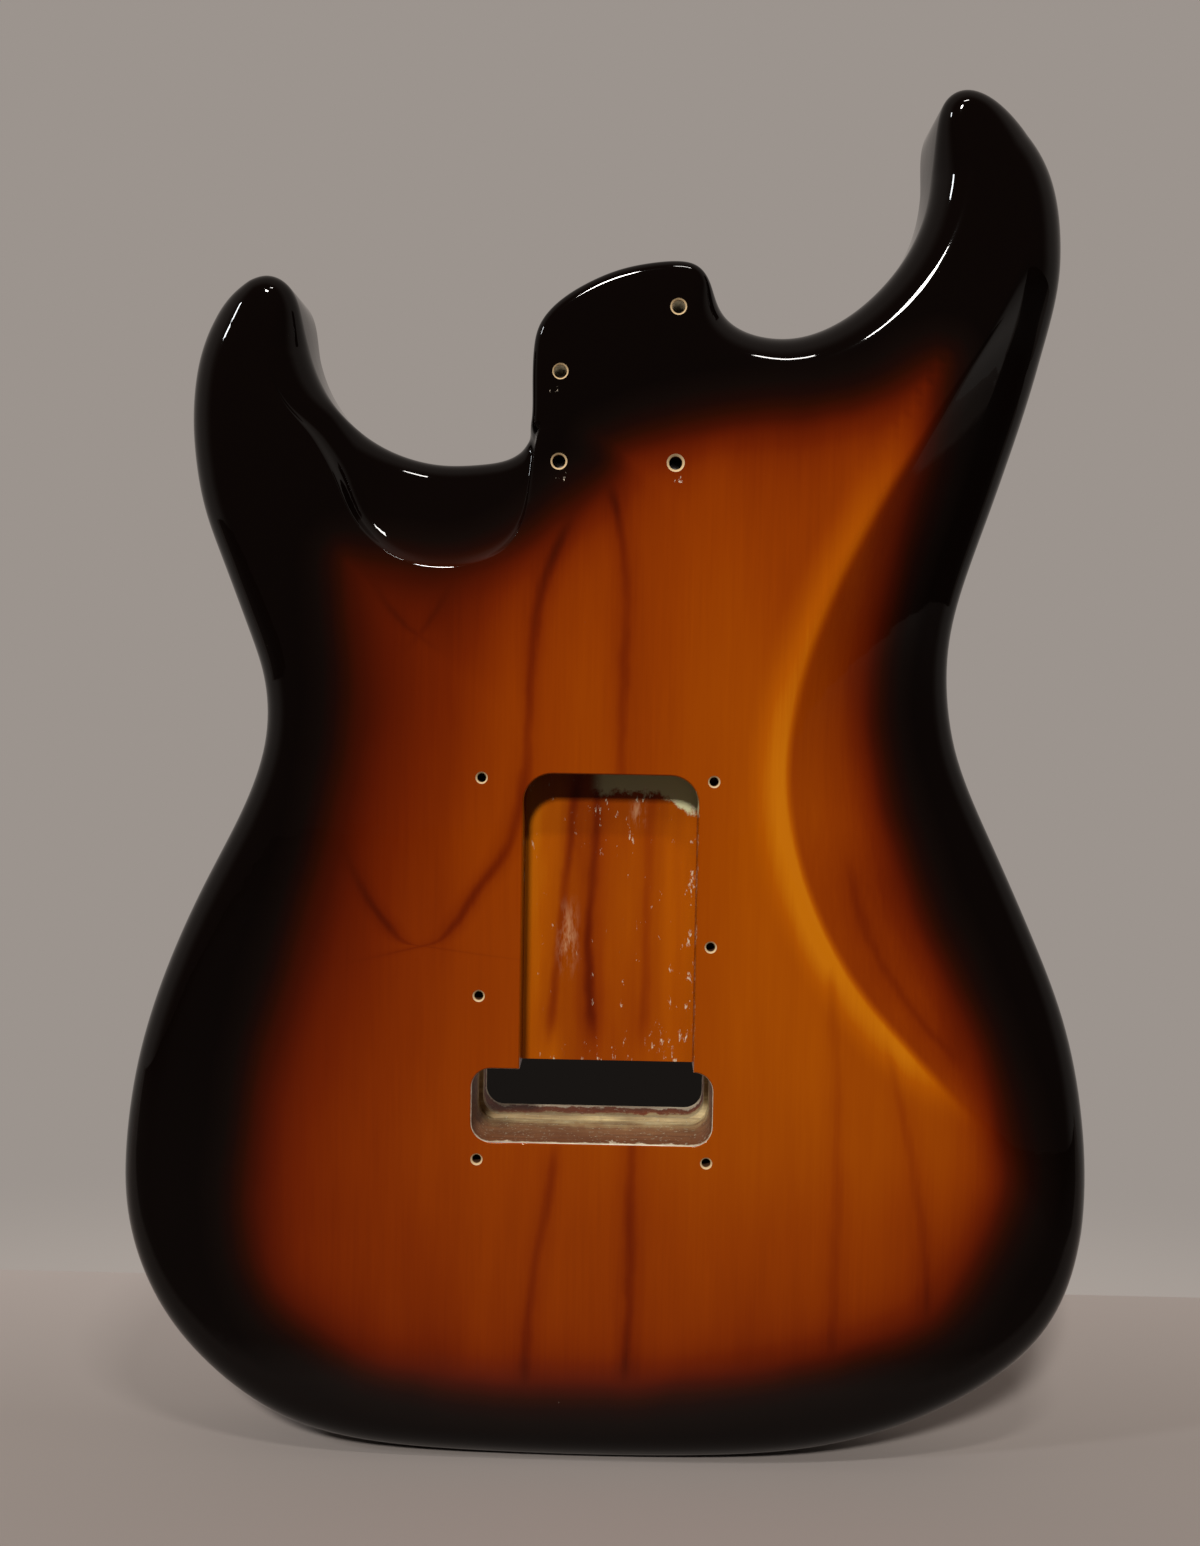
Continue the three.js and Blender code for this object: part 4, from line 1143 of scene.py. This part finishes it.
# Changes of tone over the back: ranges of x, y or distance past the belly crease in millimetres, each
# followed by the values at its ends where these aren't nought and one
SLOW_SIDE_X, SLOW_SIDE_Y = (-70, -10, 1, 0), (-330, -200, 0.25, 1)
BRIGHT_X, BRIGHT_TOP_Y, BRIGHT_BOTTOM_Y, BRIGHT_TONE = (5, 50), (-20, -100), (-300, -200), 0.1
CREASE_BEFORE, CREASE_AFTER, CREASE_TONE = (-15, -2), (-1.5, 2, 1, 0), 0.2
CREASE_BOTTOM_Y, CREASE_TOP_Y = (-232, -205), (14, -20)
BELLY_SIDE, BELLY_UPPER_Y, BELLY_LOWER_Y = (-1.5, 2.5), (-70, -20, -0.07, -0.01), (-155, -125, -0.085, 0)
UPPER_Y, UPPER_X, LOWER_Y = (-150, -60), (-60, -20, -0.095, -0.035), (-235, -270, 0, -0.05)
CLOUD_SPREAD = 6
FIGURE_TONE, FINE_TONE, GRAIN_TONE = 0.14, 0.07, -0.17
# Growth lines in the wood: how dark, then (height y, place x) in drawing millimetres
GRAIN_LINES = [
    (1.0, [(-12, -8), (-31, -15), (-60, -24), (-115, -28), (-136, -32), (-156, -44),
           (-165, -50), (-171, -55.5), (-173.5, -62)]),
    (0.9, [(-15, -6), (-23, -2), (-60, 4), (-115, 3), (-200, 6), (-250, 8.5), (-318, 7.5)]),
    (0.9, [(-173.5, -61), (-172.5, -66), (-170, -70), (-166, -73), (-156, -80.5), (-126, -92), (-108, -95)]),
    (0.8, [(-240, -16), (-265, -20), (-295, -24), (-325, -26)]),
    (0.7, [(-42, -84), (-56, -78), (-66, -71), (-71, -65)]),
    (0.6, [(-71, -64), (-66, -60), (-58, -55), (-48, -50)]),
    (0.45, [(-180, 74), (-240, 76), (-310, 77)]),
    (0.5, [(-205, 93), (-255, 104), (-290, 107), (-305, 107)]),
    (0.45, [(-145, 79), (-168, 86), (-205, 112)]),
]
CAVITY_LINES = [
    (1.0, [(-118, -12), (-150, -15), (-175, -17), (-205, -20)]),
    (0.9, [(-118, -4.5), (-150, -6), (-175, -7), (-205, -5.5)]),
    (0.4, [(-118, 14), (-205, 12)]),
]
GRAIN_CORE, GRAIN_HALO = 2.7, 7
GRAIN_CORE_SHARE, GRAIN_HALO_SHARE = 0.6, 0.4
GRAIN_END_RUN = 8
GRAIN_WANDER, GRAIN_SHAKE = 5, 1.4
GRAIN_HEIGHTS, GRAIN_PLACES = (-330, 0), (-HALF_WIDTH, HALF_WIDTH)


def grain_darkness(shader, lines):
    """Dark growth lines that run up the back, from nought to one."""
    x, y, _ = shader.drawing()
    wander = (shader.noise(*LINE_WANDER) - 0.5) * GRAIN_WANDER
    shake = (shader.noise(*LINE_SHAKE) - 0.5) * GRAIN_SHAKE
    shifted = x + (wander + shake)
    total = None
    for strength, line in lines:
        low, high = min(height for height, _ in line), max(height for height, _ in line)
        away = abs(shifted - y.curve(GRAIN_HEIGHTS, GRAIN_PLACES, line))
        swell = shader.noise(*LINE_SWELL, place=(0, 0, low * MM)) + 0.5
        core = away.fade(0, swell * GRAIN_CORE, 1, 0)
        halo = away.fade(0, GRAIN_HALO, 1, 0)
        start = y.fade(low - GRAIN_END_RUN, low + GRAIN_END_RUN)
        window = start * y.fade(high - GRAIN_END_RUN, high + GRAIN_END_RUN, 1, 0)
        dark = (core * GRAIN_CORE_SHARE + halo * GRAIN_HALO_SHARE) * window * (swell * strength)
        total = dark if total is None else total.larger(dark)
    return total


def burst_tone(shader):
    """Tone of the lacquered wood at a point, from nought at the black edge to one."""
    x, y, _ = shader.drawing()
    burst = shader.attribute("burst") + (shader.noise(*BURST_CLOUD) - 0.5) * CLOUD_SPREAD
    quick, slow = (burst.curve(FADE_RANGE, TONE_RANGE, fade) for fade in (QUICK_FADE, SLOW_FADE))
    tone = slow + (quick - slow) * (1 - x.fade(*SLOW_SIDE_X) * y.fade(*SLOW_SIDE_Y))
    lit = tone.fade(*LIT_TONES)
    bright = x.fade(*BRIGHT_X) * y.fade(*BRIGHT_TOP_Y) * y.fade(*BRIGHT_BOTTOM_Y) * BRIGHT_TONE
    belly = shader.attribute("belly")
    crease = belly.fade(*CREASE_BEFORE) * belly.fade(*CREASE_AFTER) * CREASE_TONE
    facet = belly.fade(*BELLY_SIDE) * (y.fade(*BELLY_UPPER_Y) + y.fade(*BELLY_LOWER_Y))
    crease = (crease + facet) * (y.fade(*CREASE_BOTTOM_Y) * y.fade(*CREASE_TOP_Y))
    ends = y.fade(*UPPER_Y) * x.fade(*UPPER_X) + y.fade(*LOWER_Y)
    tone = tone + (bright + crease + ends) * lit
    figure = (shader.noise(*WOOD_FIGURE) - 0.5) * FIGURE_TONE
    fine = (shader.noise(*FINE_GRAIN) - 0.5) * FINE_TONE
    return tone + (figure + fine) * lit + grain_darkness(shader, GRAIN_LINES) * (lit * GRAIN_TONE)


# Small pale chips beside the neck screw holes: their places, how far they spread, how dense they are,
# the noise levels between which they show, and how far round the edge they reach
CHIP_PLACES = [(-17.5, -20), (20, -20), (-20.5, 8.5)]
CHIP_SPREAD = 4
CHIP_DENSITY = 0.22
CHIP_THRESHOLD = (0.79, 0.82)
CHIP_SIDE = (0, 0.5, 1, 0)


def screw_chips(shader):
    """Share of pale chipped lacquer beside the neck screw holes, and of fine specks elsewhere."""
    x, y, _ = shader.drawing()
    near = None
    for place_x, place_y in CHIP_PLACES:
        away = shader.math("SQRT", (x - place_x) ** 2 + (y - place_y) ** 2)
        share = away.fade(0, CHIP_SPREAD, 1, 0)
        near = share if near is None else near.larger(share)
    near = near * shader.attribute("front").fade(*CHIP_SIDE)
    flecks = shader.noise(*CHIP_FLECKS)
    return (flecks + near * CHIP_DENSITY).fade(*CHIP_THRESHOLD)


def burst_lacquer():
    """Glossy lacquer over the sprayed burst, with the wood's grain in the clear part."""
    material, shader = new_material("burst_lacquer")
    ripple = shader.noise(*LACQUER_RIPPLE)
    peel = shader.noise(*ORANGE_PEEL)
    colour = burst_tone(shader).ramp(BURST_TONES).toward(CHIPPED_LACQUER, screw_chips(shader))
    normal = shader.bump(ripple + peel * PEEL_SHARE, *LACQUER_BUMP)
    set_lacquer(shader, colour, LACQUER_ROUGHNESS, LACQUER_COAT_ROUGHNESS, normal)
    return material


# Spring cavity: tones of the wood, its pale sides, growth lines, walls and a painted highlight on the lip
FLOOR_TONE, STREAK_TONE, BAND_TONE, SIDE_TONE, LINE_TONE = 0.75, 0.16, 0.3, 0.18, -0.28
WALL_TONE, WALL_STAIN, LIP_PAINTED_HIGHLIGHT_TONE = 0.38, 0.25, 0.4
CAVITY_FLOOR_DEPTH = (SPRING_DEPTH - 0.6, SPRING_DEPTH - 0.1)
CAVITY_LIP_HIGHLIGHT_DEPTH = (LIP_RADIUS, LIP_RADIUS + 0.5, 1, 0)
LEFT_SIDE_X, RIGHT_SIDE_X = (-20, -8, 1, 0), (8, 22, 0, 0.5)
# Patch of primer at the top of the cavity, two rubbed patches and the chipped parts of its floor
PRIMER_Y, PRIMER_X = (SPRING_TOP_Y - 3.5, SPRING_TOP_Y - 1.5), (-8, -2)
PRIMER_CORNER_X, PRIMER_CORNER_RISE, PRIMER_RAGGEDNESS, PRIMER_DEPTH = (16, 28), 6, 9, (1.5, 2.5)
RUBBED_PATCHES = [((-14, 5), (-172, 16)), ((9, 4), (-129, 7))]
CHIPPED_X, CHIPPED_TOP_Y = (22, 28), (-145, -118)
CHIPPED_BOTTOM_Y, CHIPPED_SLANT = (-201, -209, 0, 0.6), 0.2
SCUFF_THRESHOLD, RUB_THRESHOLD = (0.66, 0.72), (0.42, 0.62)
CHIPPED_TOP_SHARE, CHIPPED_DENSITY, WORN_SHARE, SCUFF_SHARE = 0.6, 0.1, 0.5, 0.8


def cavity_tone(shader, streaks):
    """Tone of the thin lacquer on the floor and walls of the spring cavity, with a painted highlight on the
    lip.
    """
    x, _, depth = shader.drawing()
    band = shader.noise(*CAVITY_BAND) - 0.5
    tone = streaks * STREAK_TONE + band * BAND_TONE + FLOOR_TONE
    tone = tone + (x.fade(*LEFT_SIDE_X) + x.fade(*RIGHT_SIDE_X)) * SIDE_TONE
    tone = tone + grain_darkness(shader, CAVITY_LINES) * LINE_TONE
    wall = shader.noise(*CAVITY_STAIN) * WALL_STAIN + WALL_TONE
    tone = wall + depth.fade(*CAVITY_FLOOR_DEPTH) * (tone - wall)
    # painted highlight: the tone is raised on the rounded lip
    return tone + depth.fade(*CAVITY_LIP_HIGHLIGHT_DEPTH) * LIP_PAINTED_HIGHLIGHT_TONE


def cavity_finish():
    """Spring cavity: thin lacquer over cut wood, with scuffs, chips and a patch of primer at the top."""
    material, shader = new_material("cavity_finish")
    x, y, depth = shader.drawing()
    streaks = shader.noise(*CAVITY_STREAKS) - 0.5
    ragged = shader.noise(*PRIMER_EDGE) * PRIMER_RAGGEDNESS
    primer = (y + ragged + x.fade(*PRIMER_CORNER_X) * PRIMER_CORNER_RISE).fade(*PRIMER_Y)
    primer = primer * (x.fade(*PRIMER_X) * depth.fade(*PRIMER_DEPTH))
    flecks = shader.noise(*CAVITY_FLECKS)
    chipped = x.fade(*CHIPPED_X).larger(y.fade(*CHIPPED_TOP_Y) * CHIPPED_TOP_SHARE)
    chipped = chipped.larger((y - x * CHIPPED_SLANT).fade(*CHIPPED_BOTTOM_Y))
    scuff = (flecks + chipped * CHIPPED_DENSITY).fade(*SCUFF_THRESHOLD)
    upper, lower = (x.bump_at(*across) * y.bump_at(*upward) for across, upward in RUBBED_PATCHES)
    worn = (upper + lower) * shader.noise(*RUB_MARKS).fade(*RUB_THRESHOLD)
    colour = cavity_tone(shader, streaks).ramp(BURST_TONES).toward(PRIMER, primer)
    colour = colour.toward(RUBBED_WOOD, worn * WORN_SHARE).toward(SCUFFED_WOOD, scuff * SCUFF_SHARE)
    normal = shader.bump(flecks + streaks, *CAVITY_BUMP)
    set_lacquer(shader, colour, CAVITY_ROUGHNESS, CAVITY_COAT_ROUGHNESS, normal)
    return material


# Layers in the tremolo slot from the back to the front, as shares of the thickness; the first two stops are
# a painted highlight along the back edge
SLOT_LAYERS_AND_PAINTED_HIGHLIGHT = [
    (0.0, (246, 238, 216)), (0.025, (236, 224, 192)), (0.045, (112, 66, 34)),
    (0.2, (124, 78, 46)), (0.42, (146, 100, 62)), (0.55, (176, 146, 100)),
    (0.66, (204, 186, 142)), (0.76, (196, 170, 122)), (0.8, (142, 66, 26)),
    (0.92, (112, 44, 16)), (0.95, (232, 220, 192)), (1.0, (232, 220, 192)),
]
LAYER_RAGGEDNESS = 14
# Depths in millimetres over which the raggedness grows, and its shares there
RAGGED_DEPTH = (0, 6, 0.15, 1)
# Noise levels between which a mark starts, and its greatest share of the colour
STREAK_THRESHOLD, STREAK_SHARE = (0.35, 0.75), 0.6
STAIN_THRESHOLD, STAIN_SHARE = (0.45, 0.65), 0.45
SLOT_CHIP_THRESHOLD, SLOT_CHIP_SHARE = (0.6, 0.66), 0.6


def slot_finish():
    """Tremolo slot: a painted highlight along the back edge, brown wood, cream filler and a pale front edge.
    """
    material, shader = new_material("slot_finish")
    _, _, depth = shader.drawing()
    ragged = (shader.noise(*LAYER_EDGE) - 0.5) * LAYER_RAGGEDNESS
    # the ramp's first stops paint a highlight along the slot's back edge
    colour = ((depth + ragged * depth.fade(*RAGGED_DEPTH)) / BODY_THICKNESS).ramp(SLOT_LAYERS_AND_PAINTED_HIGHLIGHT)
    streaks = shader.noise(*SLOT_STREAKS)
    colour = colour.toward(STREAKED_WOOD, streaks.fade(*STREAK_THRESHOLD) * STREAK_SHARE)
    stain = shader.noise(*SLOT_STAIN).fade(*STAIN_THRESHOLD)
    colour = colour.toward(STAINED_WOOD, stain * STAIN_SHARE)
    chips = shader.noise(*SLOT_CHIPS).fade(*SLOT_CHIP_THRESHOLD)
    colour = colour.toward(CHIPPED_FILLER, chips * SLOT_CHIP_SHARE)
    set_wood(shader, colour, SLOT_ROUGHNESS, shader.bump(streaks + chips, *SLOT_BUMP))
    return material


# Colour of a drilled hole by share of a depth of 14 mm, with painted shade deeper in, and the height above
# which the holes get painted light
HOLE_COLOURS_WITH_PAINTED_SHADE = [
    (0.0, (206, 180, 140)), (0.05, (190, 162, 122)), (0.1, (96, 62, 36)),
    (0.5, (34, 20, 12)), (1.0, (60, 40, 26)),
]
HOLE_COLOUR_DEPTH, HOLE_RAGGEDNESS = 14, 0.08
PAINTED_LIGHT_HOLE_Y, PAINTED_LIGHT_HOLE_DEPTH = (4, 8), (1, 2)


def hole_wood_and_painted_shading():
    """Drilled holes: pale wood where the lacquer is broken away, painted shade further in, and painted light
    inside the upper two.
    """
    material, shader = new_material("hole_wood_and_painted_shading")
    _, y, depth = shader.drawing()
    speckle = (shader.noise(*HOLE_SPECKLE) - 0.5) * HOLE_RAGGEDNESS
    # pale rim where the lacquer is broken away, then painted shade deeper into the hole
    colour = (depth * (1 / HOLE_COLOUR_DEPTH) + speckle).ramp(HOLE_COLOURS_WITH_PAINTED_SHADE)
    # painted light: the upper two neck holes turn pale inside
    colour = colour.toward(HOLE_PAINTED_LIGHT, y.fade(*PAINTED_LIGHT_HOLE_Y) * depth.fade(*PAINTED_LIGHT_HOLE_DEPTH))
    shader.set(Base_Color=colour, Roughness=HOLE_ROUGHNESS, Specular_IOR_Level=HOLE_SPECULAR)
    return material


# Dark overspray in the cavities of the front: where it fades out below the front, how far that wanders,
# and its greatest share of the colour
OVERSPRAY_DEPTH, OVERSPRAY_SPREAD = (4, 13, 1, 0), 10
POCKET_OVERSPRAY, ROUTED_OVERSPRAY = 0.35, 0.75
GRAIN_THRESHOLD = (0.3, 0.7)


def bare_wood(name, colours, overspray):
    """Routed wood with fine vertical grain, cutter marks and a share of dark overspray near the mouth."""
    material, shader = new_material(name)
    grain = shader.noise(*ROUTED_GRAIN)
    colour = shader.mix(grain.fade(*GRAIN_THRESHOLD), *colours)
    depth = shader.axis("Y") * -1 - FRONT_Z
    mist = (depth + shader.noise(*SPRAY_CLOUD) * OVERSPRAY_SPREAD).fade(*OVERSPRAY_DEPTH)
    marks = shader.noise(*CUTTER_MARKS)
    colour = colour.toward(OVERSPRAY, mist * overspray)
    set_wood(shader, colour, WOOD_ROUGHNESS, shader.bump(grain + marks, *WOOD_BUMP))
    return material


def dress_planks():
    planks = make_planks()
    finishes = [
        burst_lacquer(),
        cavity_finish(),
        slot_finish(),
        hole_wood_and_painted_shading(),
        bare_wood("pocket_wood", POCKET_WOOD, POCKET_OVERSPRAY),
        bare_wood("route_wood", ROUTED_WOOD, ROUTED_OVERSPRAY),
    ]
    for node, plank in planks.items():
        kept = [polygon.material_index for polygon in plank.data.polygons]
        plank.data.materials.clear()
        for finish in finishes:
            plank.data.materials.append(finish)
        plank.data.polygons.foreach_set("material_index", kept)
        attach(plank, "root")
        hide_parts(node)


def turned_steel():
    """Turned steel with fine rings round the bore."""
    material, shader = new_material("turned_steel")
    rings = shader.noise(*STEEL_RINGS)
    smudge = shader.noise(*STEEL_SMUDGE)
    shader.set(
        Base_Color=shader.mix(smudge.fade(*SMUDGE_TONES), *STEEL),
        Metallic=1,
        Roughness=smudge.fade(*SMUDGE_LEVELS, *STEEL_ROUGHNESS),
        Normal=shader.bump(rings, *STEEL_BUMP),
    )
    return material


def make_bushing(node, x):
    """Stud bushing with a groove round its side, chamfered ends and a blind bore."""
    radius, bore = BUSHING_DIAMETER / 2, BUSHING_BORE_DIAMETER / 2
    groove = radius - BUSHING_GROOVE_DEPTH
    starts, ends = (share * BUSHING_LENGTH for share in BUSHING_GROOVE_SHARES)
    profile = [
        (radius - BUSHING_CHAMFER, 0), (radius, BUSHING_CHAMFER), (radius, starts),
        (groove, starts + BUSHING_GROOVE_DEPTH), (groove, ends - BUSHING_GROOVE_DEPTH), (radius, ends),
        (radius, BUSHING_LENGTH - BUSHING_CHAMFER), (radius - BUSHING_CHAMFER, BUSHING_LENGTH),
        (bore + BUSHING_CHAMFER, BUSHING_LENGTH), (bore, BUSHING_LENGTH - BUSHING_CHAMFER),
        (bore, BUSHING_LENGTH - BUSHING_BORE_DEPTH),
    ]
    angles = np.linspace(0, 2 * math.pi, BUSHING_SIDES, endpoint=False)
    loops = []
    for reach, height in profile:
        level = np.full(BUSHING_SIDES, FRONT_Z + BUSHING_LENGTH - height)
        loops.append(np.column_stack([x + reach * np.cos(angles), STUD_Y + reach * np.sin(angles), level]))
    piece = loft(node + "_turned", loops)
    bpy.context.scene.collection.objects.link(piece)
    piece.data.materials.append(turned_steel())
    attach(piece, "root")
    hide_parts(node)


# Camera: values read from the photograph, in its own pixels, and its place from the back in millimetres
PHOTO_SIZE = (1200, 1546)
FOCAL_PX = 1626
CENTRE_PX = (600, 773)
VANISHING_PX = (628, 685)
ROLL_DEGREES = 1.05
CAMERA_PLACE = (4.8, -86.3, 530)
SENSOR_MM = 36
CLIP_START = 0.01


def make_camera():
    """Camera at the photograph's viewing angle, from the vanishing point of the back's normal."""
    away = np.array([VANISHING_PX[0] - CENTRE_PX[0], VANISHING_PX[1] - CENTRE_PX[1], FOCAL_PX], float)
    away /= np.linalg.norm(away)
    down = np.array([0, 1, 0]) - away * away[1]
    down /= np.linalg.norm(down)
    roll = math.radians(ROLL_DEGREES)
    across = np.cross(down, away) * math.cos(roll) + down * math.sin(roll)
    axes = np.stack([across, np.cross(-away, across), -away], 1)
    camera_axes = [(axis[0], -axis[2], axis[1]) for axis in (axes[0], -axes[1], -axes[2])]
    data = bpy.data.cameras.new("photo_camera")
    data.sensor_fit = "AUTO"
    data.sensor_width = SENSOR_MM
    data.lens = SENSOR_MM * FOCAL_PX / max(PHOTO_SIZE)
    data.clip_start = CLIP_START
    camera = bpy.data.objects.new("photo_camera", data)
    bpy.context.scene.collection.objects.link(camera)
    x, y, z = CAMERA_PLACE
    matrix = Matrix(camera_axes).transposed().to_4x4()
    matrix.translation = Vector((x * MM, -(BACK_Z + z) * MM, y * MM))
    camera.matrix_world = matrix
    bpy.context.scene.camera = camera


# Lamps: name, place in metres, size in metres, power in watts and colour. All face one spot on the body.
LAMP_TARGET = (0, 0, -0.1)
WARM, COOL = (1, 0.97, 0.93), (0.93, 0.97, 1)
LAMPS = [
    ("front_softbox", (-0.34, -2.65, 1.5), (0.34, 0.3), 83, WARM),
    ("overhead_softbox", (0.14, -0.72, 0.83), (0.22, 0.06), 3.5, WARM),
    ("left_window", (-1.5, -1, 0.9), (0.13, 0.24), 8, COOL),
]


def make_lamps():
    for name, place, size, power, colour in LAMPS:
        data = bpy.data.lights.new(name, "AREA")
        data.shape = "RECTANGLE"
        data.size, data.size_y = size
        data.energy = power
        data.color = colour
        light = bpy.data.objects.new(name, data)
        light.location = place
        light.rotation_euler = (Vector(LAMP_TARGET) - Vector(place)).to_track_quat("-Z", "Y").to_euler()
        bpy.context.scene.collection.objects.link(light)


# Floor, in metres, and its colours from far in front of the body to its back edge, a painted light falloff:
# dark far in front, pale near the body
FLOOR_HALF_WIDTH = 2
FLOOR_FRONT_Y, FLOOR_BACK_Y = -2.4, 0.14
FLOOR_RAMP_Y = -1.5
FLOOR_GAP = 0.0001
FLOOR_MOTTLE = 0.004
FLOOR_PAINTED_FALLOFF_COLOURS = [
    (0, (26, 25, 24)), (0.5, (38, 36, 35)), (0.8, (74, 70, 67)), (0.84, (86, 82, 79)),
    (0.86, (150, 141, 136)), (0.915, (152, 143, 138)), (1, (176, 166, 161)),
]


def make_stage():
    """Pale floor that ends in a line behind the body, with a painted light falloff that darkens it in front
    of the body.
    """
    left, right, floor_z = -FLOOR_HALF_WIDTH, FLOOR_HALF_WIDTH, cad_box[0][2] - FLOOR_GAP
    corners = [
        (left, FLOOR_FRONT_Y, floor_z), (right, FLOOR_FRONT_Y, floor_z),
        (right, FLOOR_BACK_Y, floor_z), (left, FLOOR_BACK_Y, floor_z),
    ]
    mesh = bpy.data.meshes.new("floor")
    mesh.from_pydata(corners, [], [(0, 1, 2, 3)])
    floor = bpy.data.objects.new("floor", mesh)
    bpy.context.scene.collection.objects.link(floor)
    material, shader = new_material("floor_paper_painted_falloff")
    mottle = (shader.noise(*FLOOR_CLOUD) - 0.5) * FLOOR_MOTTLE
    start, length = FLOOR_RAMP_Y / MM, (FLOOR_BACK_Y - FLOOR_RAMP_Y) / MM
    # painted light falloff: the floor's colour darkens away in front of the body
    near = (shader.axis("Y") - start) / length + mottle
    shader.set(
        Base_Color=near.ramp(FLOOR_PAINTED_FALLOFF_COLOURS),
        Roughness=FLOOR_ROUGHNESS,
        Specular_IOR_Level=FLOOR_SPECULAR,
    )
    floor.data.materials.append(material)


# World: colours, and ranges of a direction's parts along x, y and z
WALL_COLOUR = (156, 148, 142)
GLOW_COLOUR = (167, 158, 151)
ROOM_COLOUR = (72, 67, 64)
SHADE_COLOUR = (24, 21, 19)
GLOW_Z = (-0.345, -0.28, 1, 0)
WALL_Y = (-0.62, -0.12)
SHADE_Y = (0, 0.5)
SHADE_Z = -0.12
SHADE_WIDTH, SHADE_HEIGHT = 0.17, 0.27
SHADE_EDGE = (0.8, 1.1, 1, 0)


def make_world():
    """Pale room, dim in front of the back face, with the body's own shade low behind it."""
    world = bpy.data.worlds.new("studio")
    bpy.context.scene.world = world
    world.use_nodes = True
    shader = Shader(world.node_tree, "Generated")
    x, y, z = (shader.node("SeparateXYZ", name, {0: shader.place}) for name in "XYZ")
    spot = (x / SHADE_WIDTH) ** 2 + ((z - SHADE_Z) / SHADE_HEIGHT) ** 2
    wall = shader.mix(z.fade(*GLOW_Z), WALL_COLOUR, GLOW_COLOUR)
    colour = shader.mix(y.fade(*WALL_Y), ROOM_COLOUR, wall)
    colour = colour.toward(SHADE_COLOUR, spot.fade(*SHADE_EDGE) * y.fade(*SHADE_Y))
    background = world.node_tree.nodes["Background"]
    shader.put(colour, background.inputs["Color"])
    shader.put(1, background.inputs["Strength"])


make_camera()
make_stage()
make_world()
make_lamps()
dress_planks()
make_bushing("treble_stud_bushing", -STUD_SPACING / 2)
make_bushing("bass_stud_bushing", STUD_SPACING / 2)
bpy.context.scene.view_settings.view_transform = "Standard"
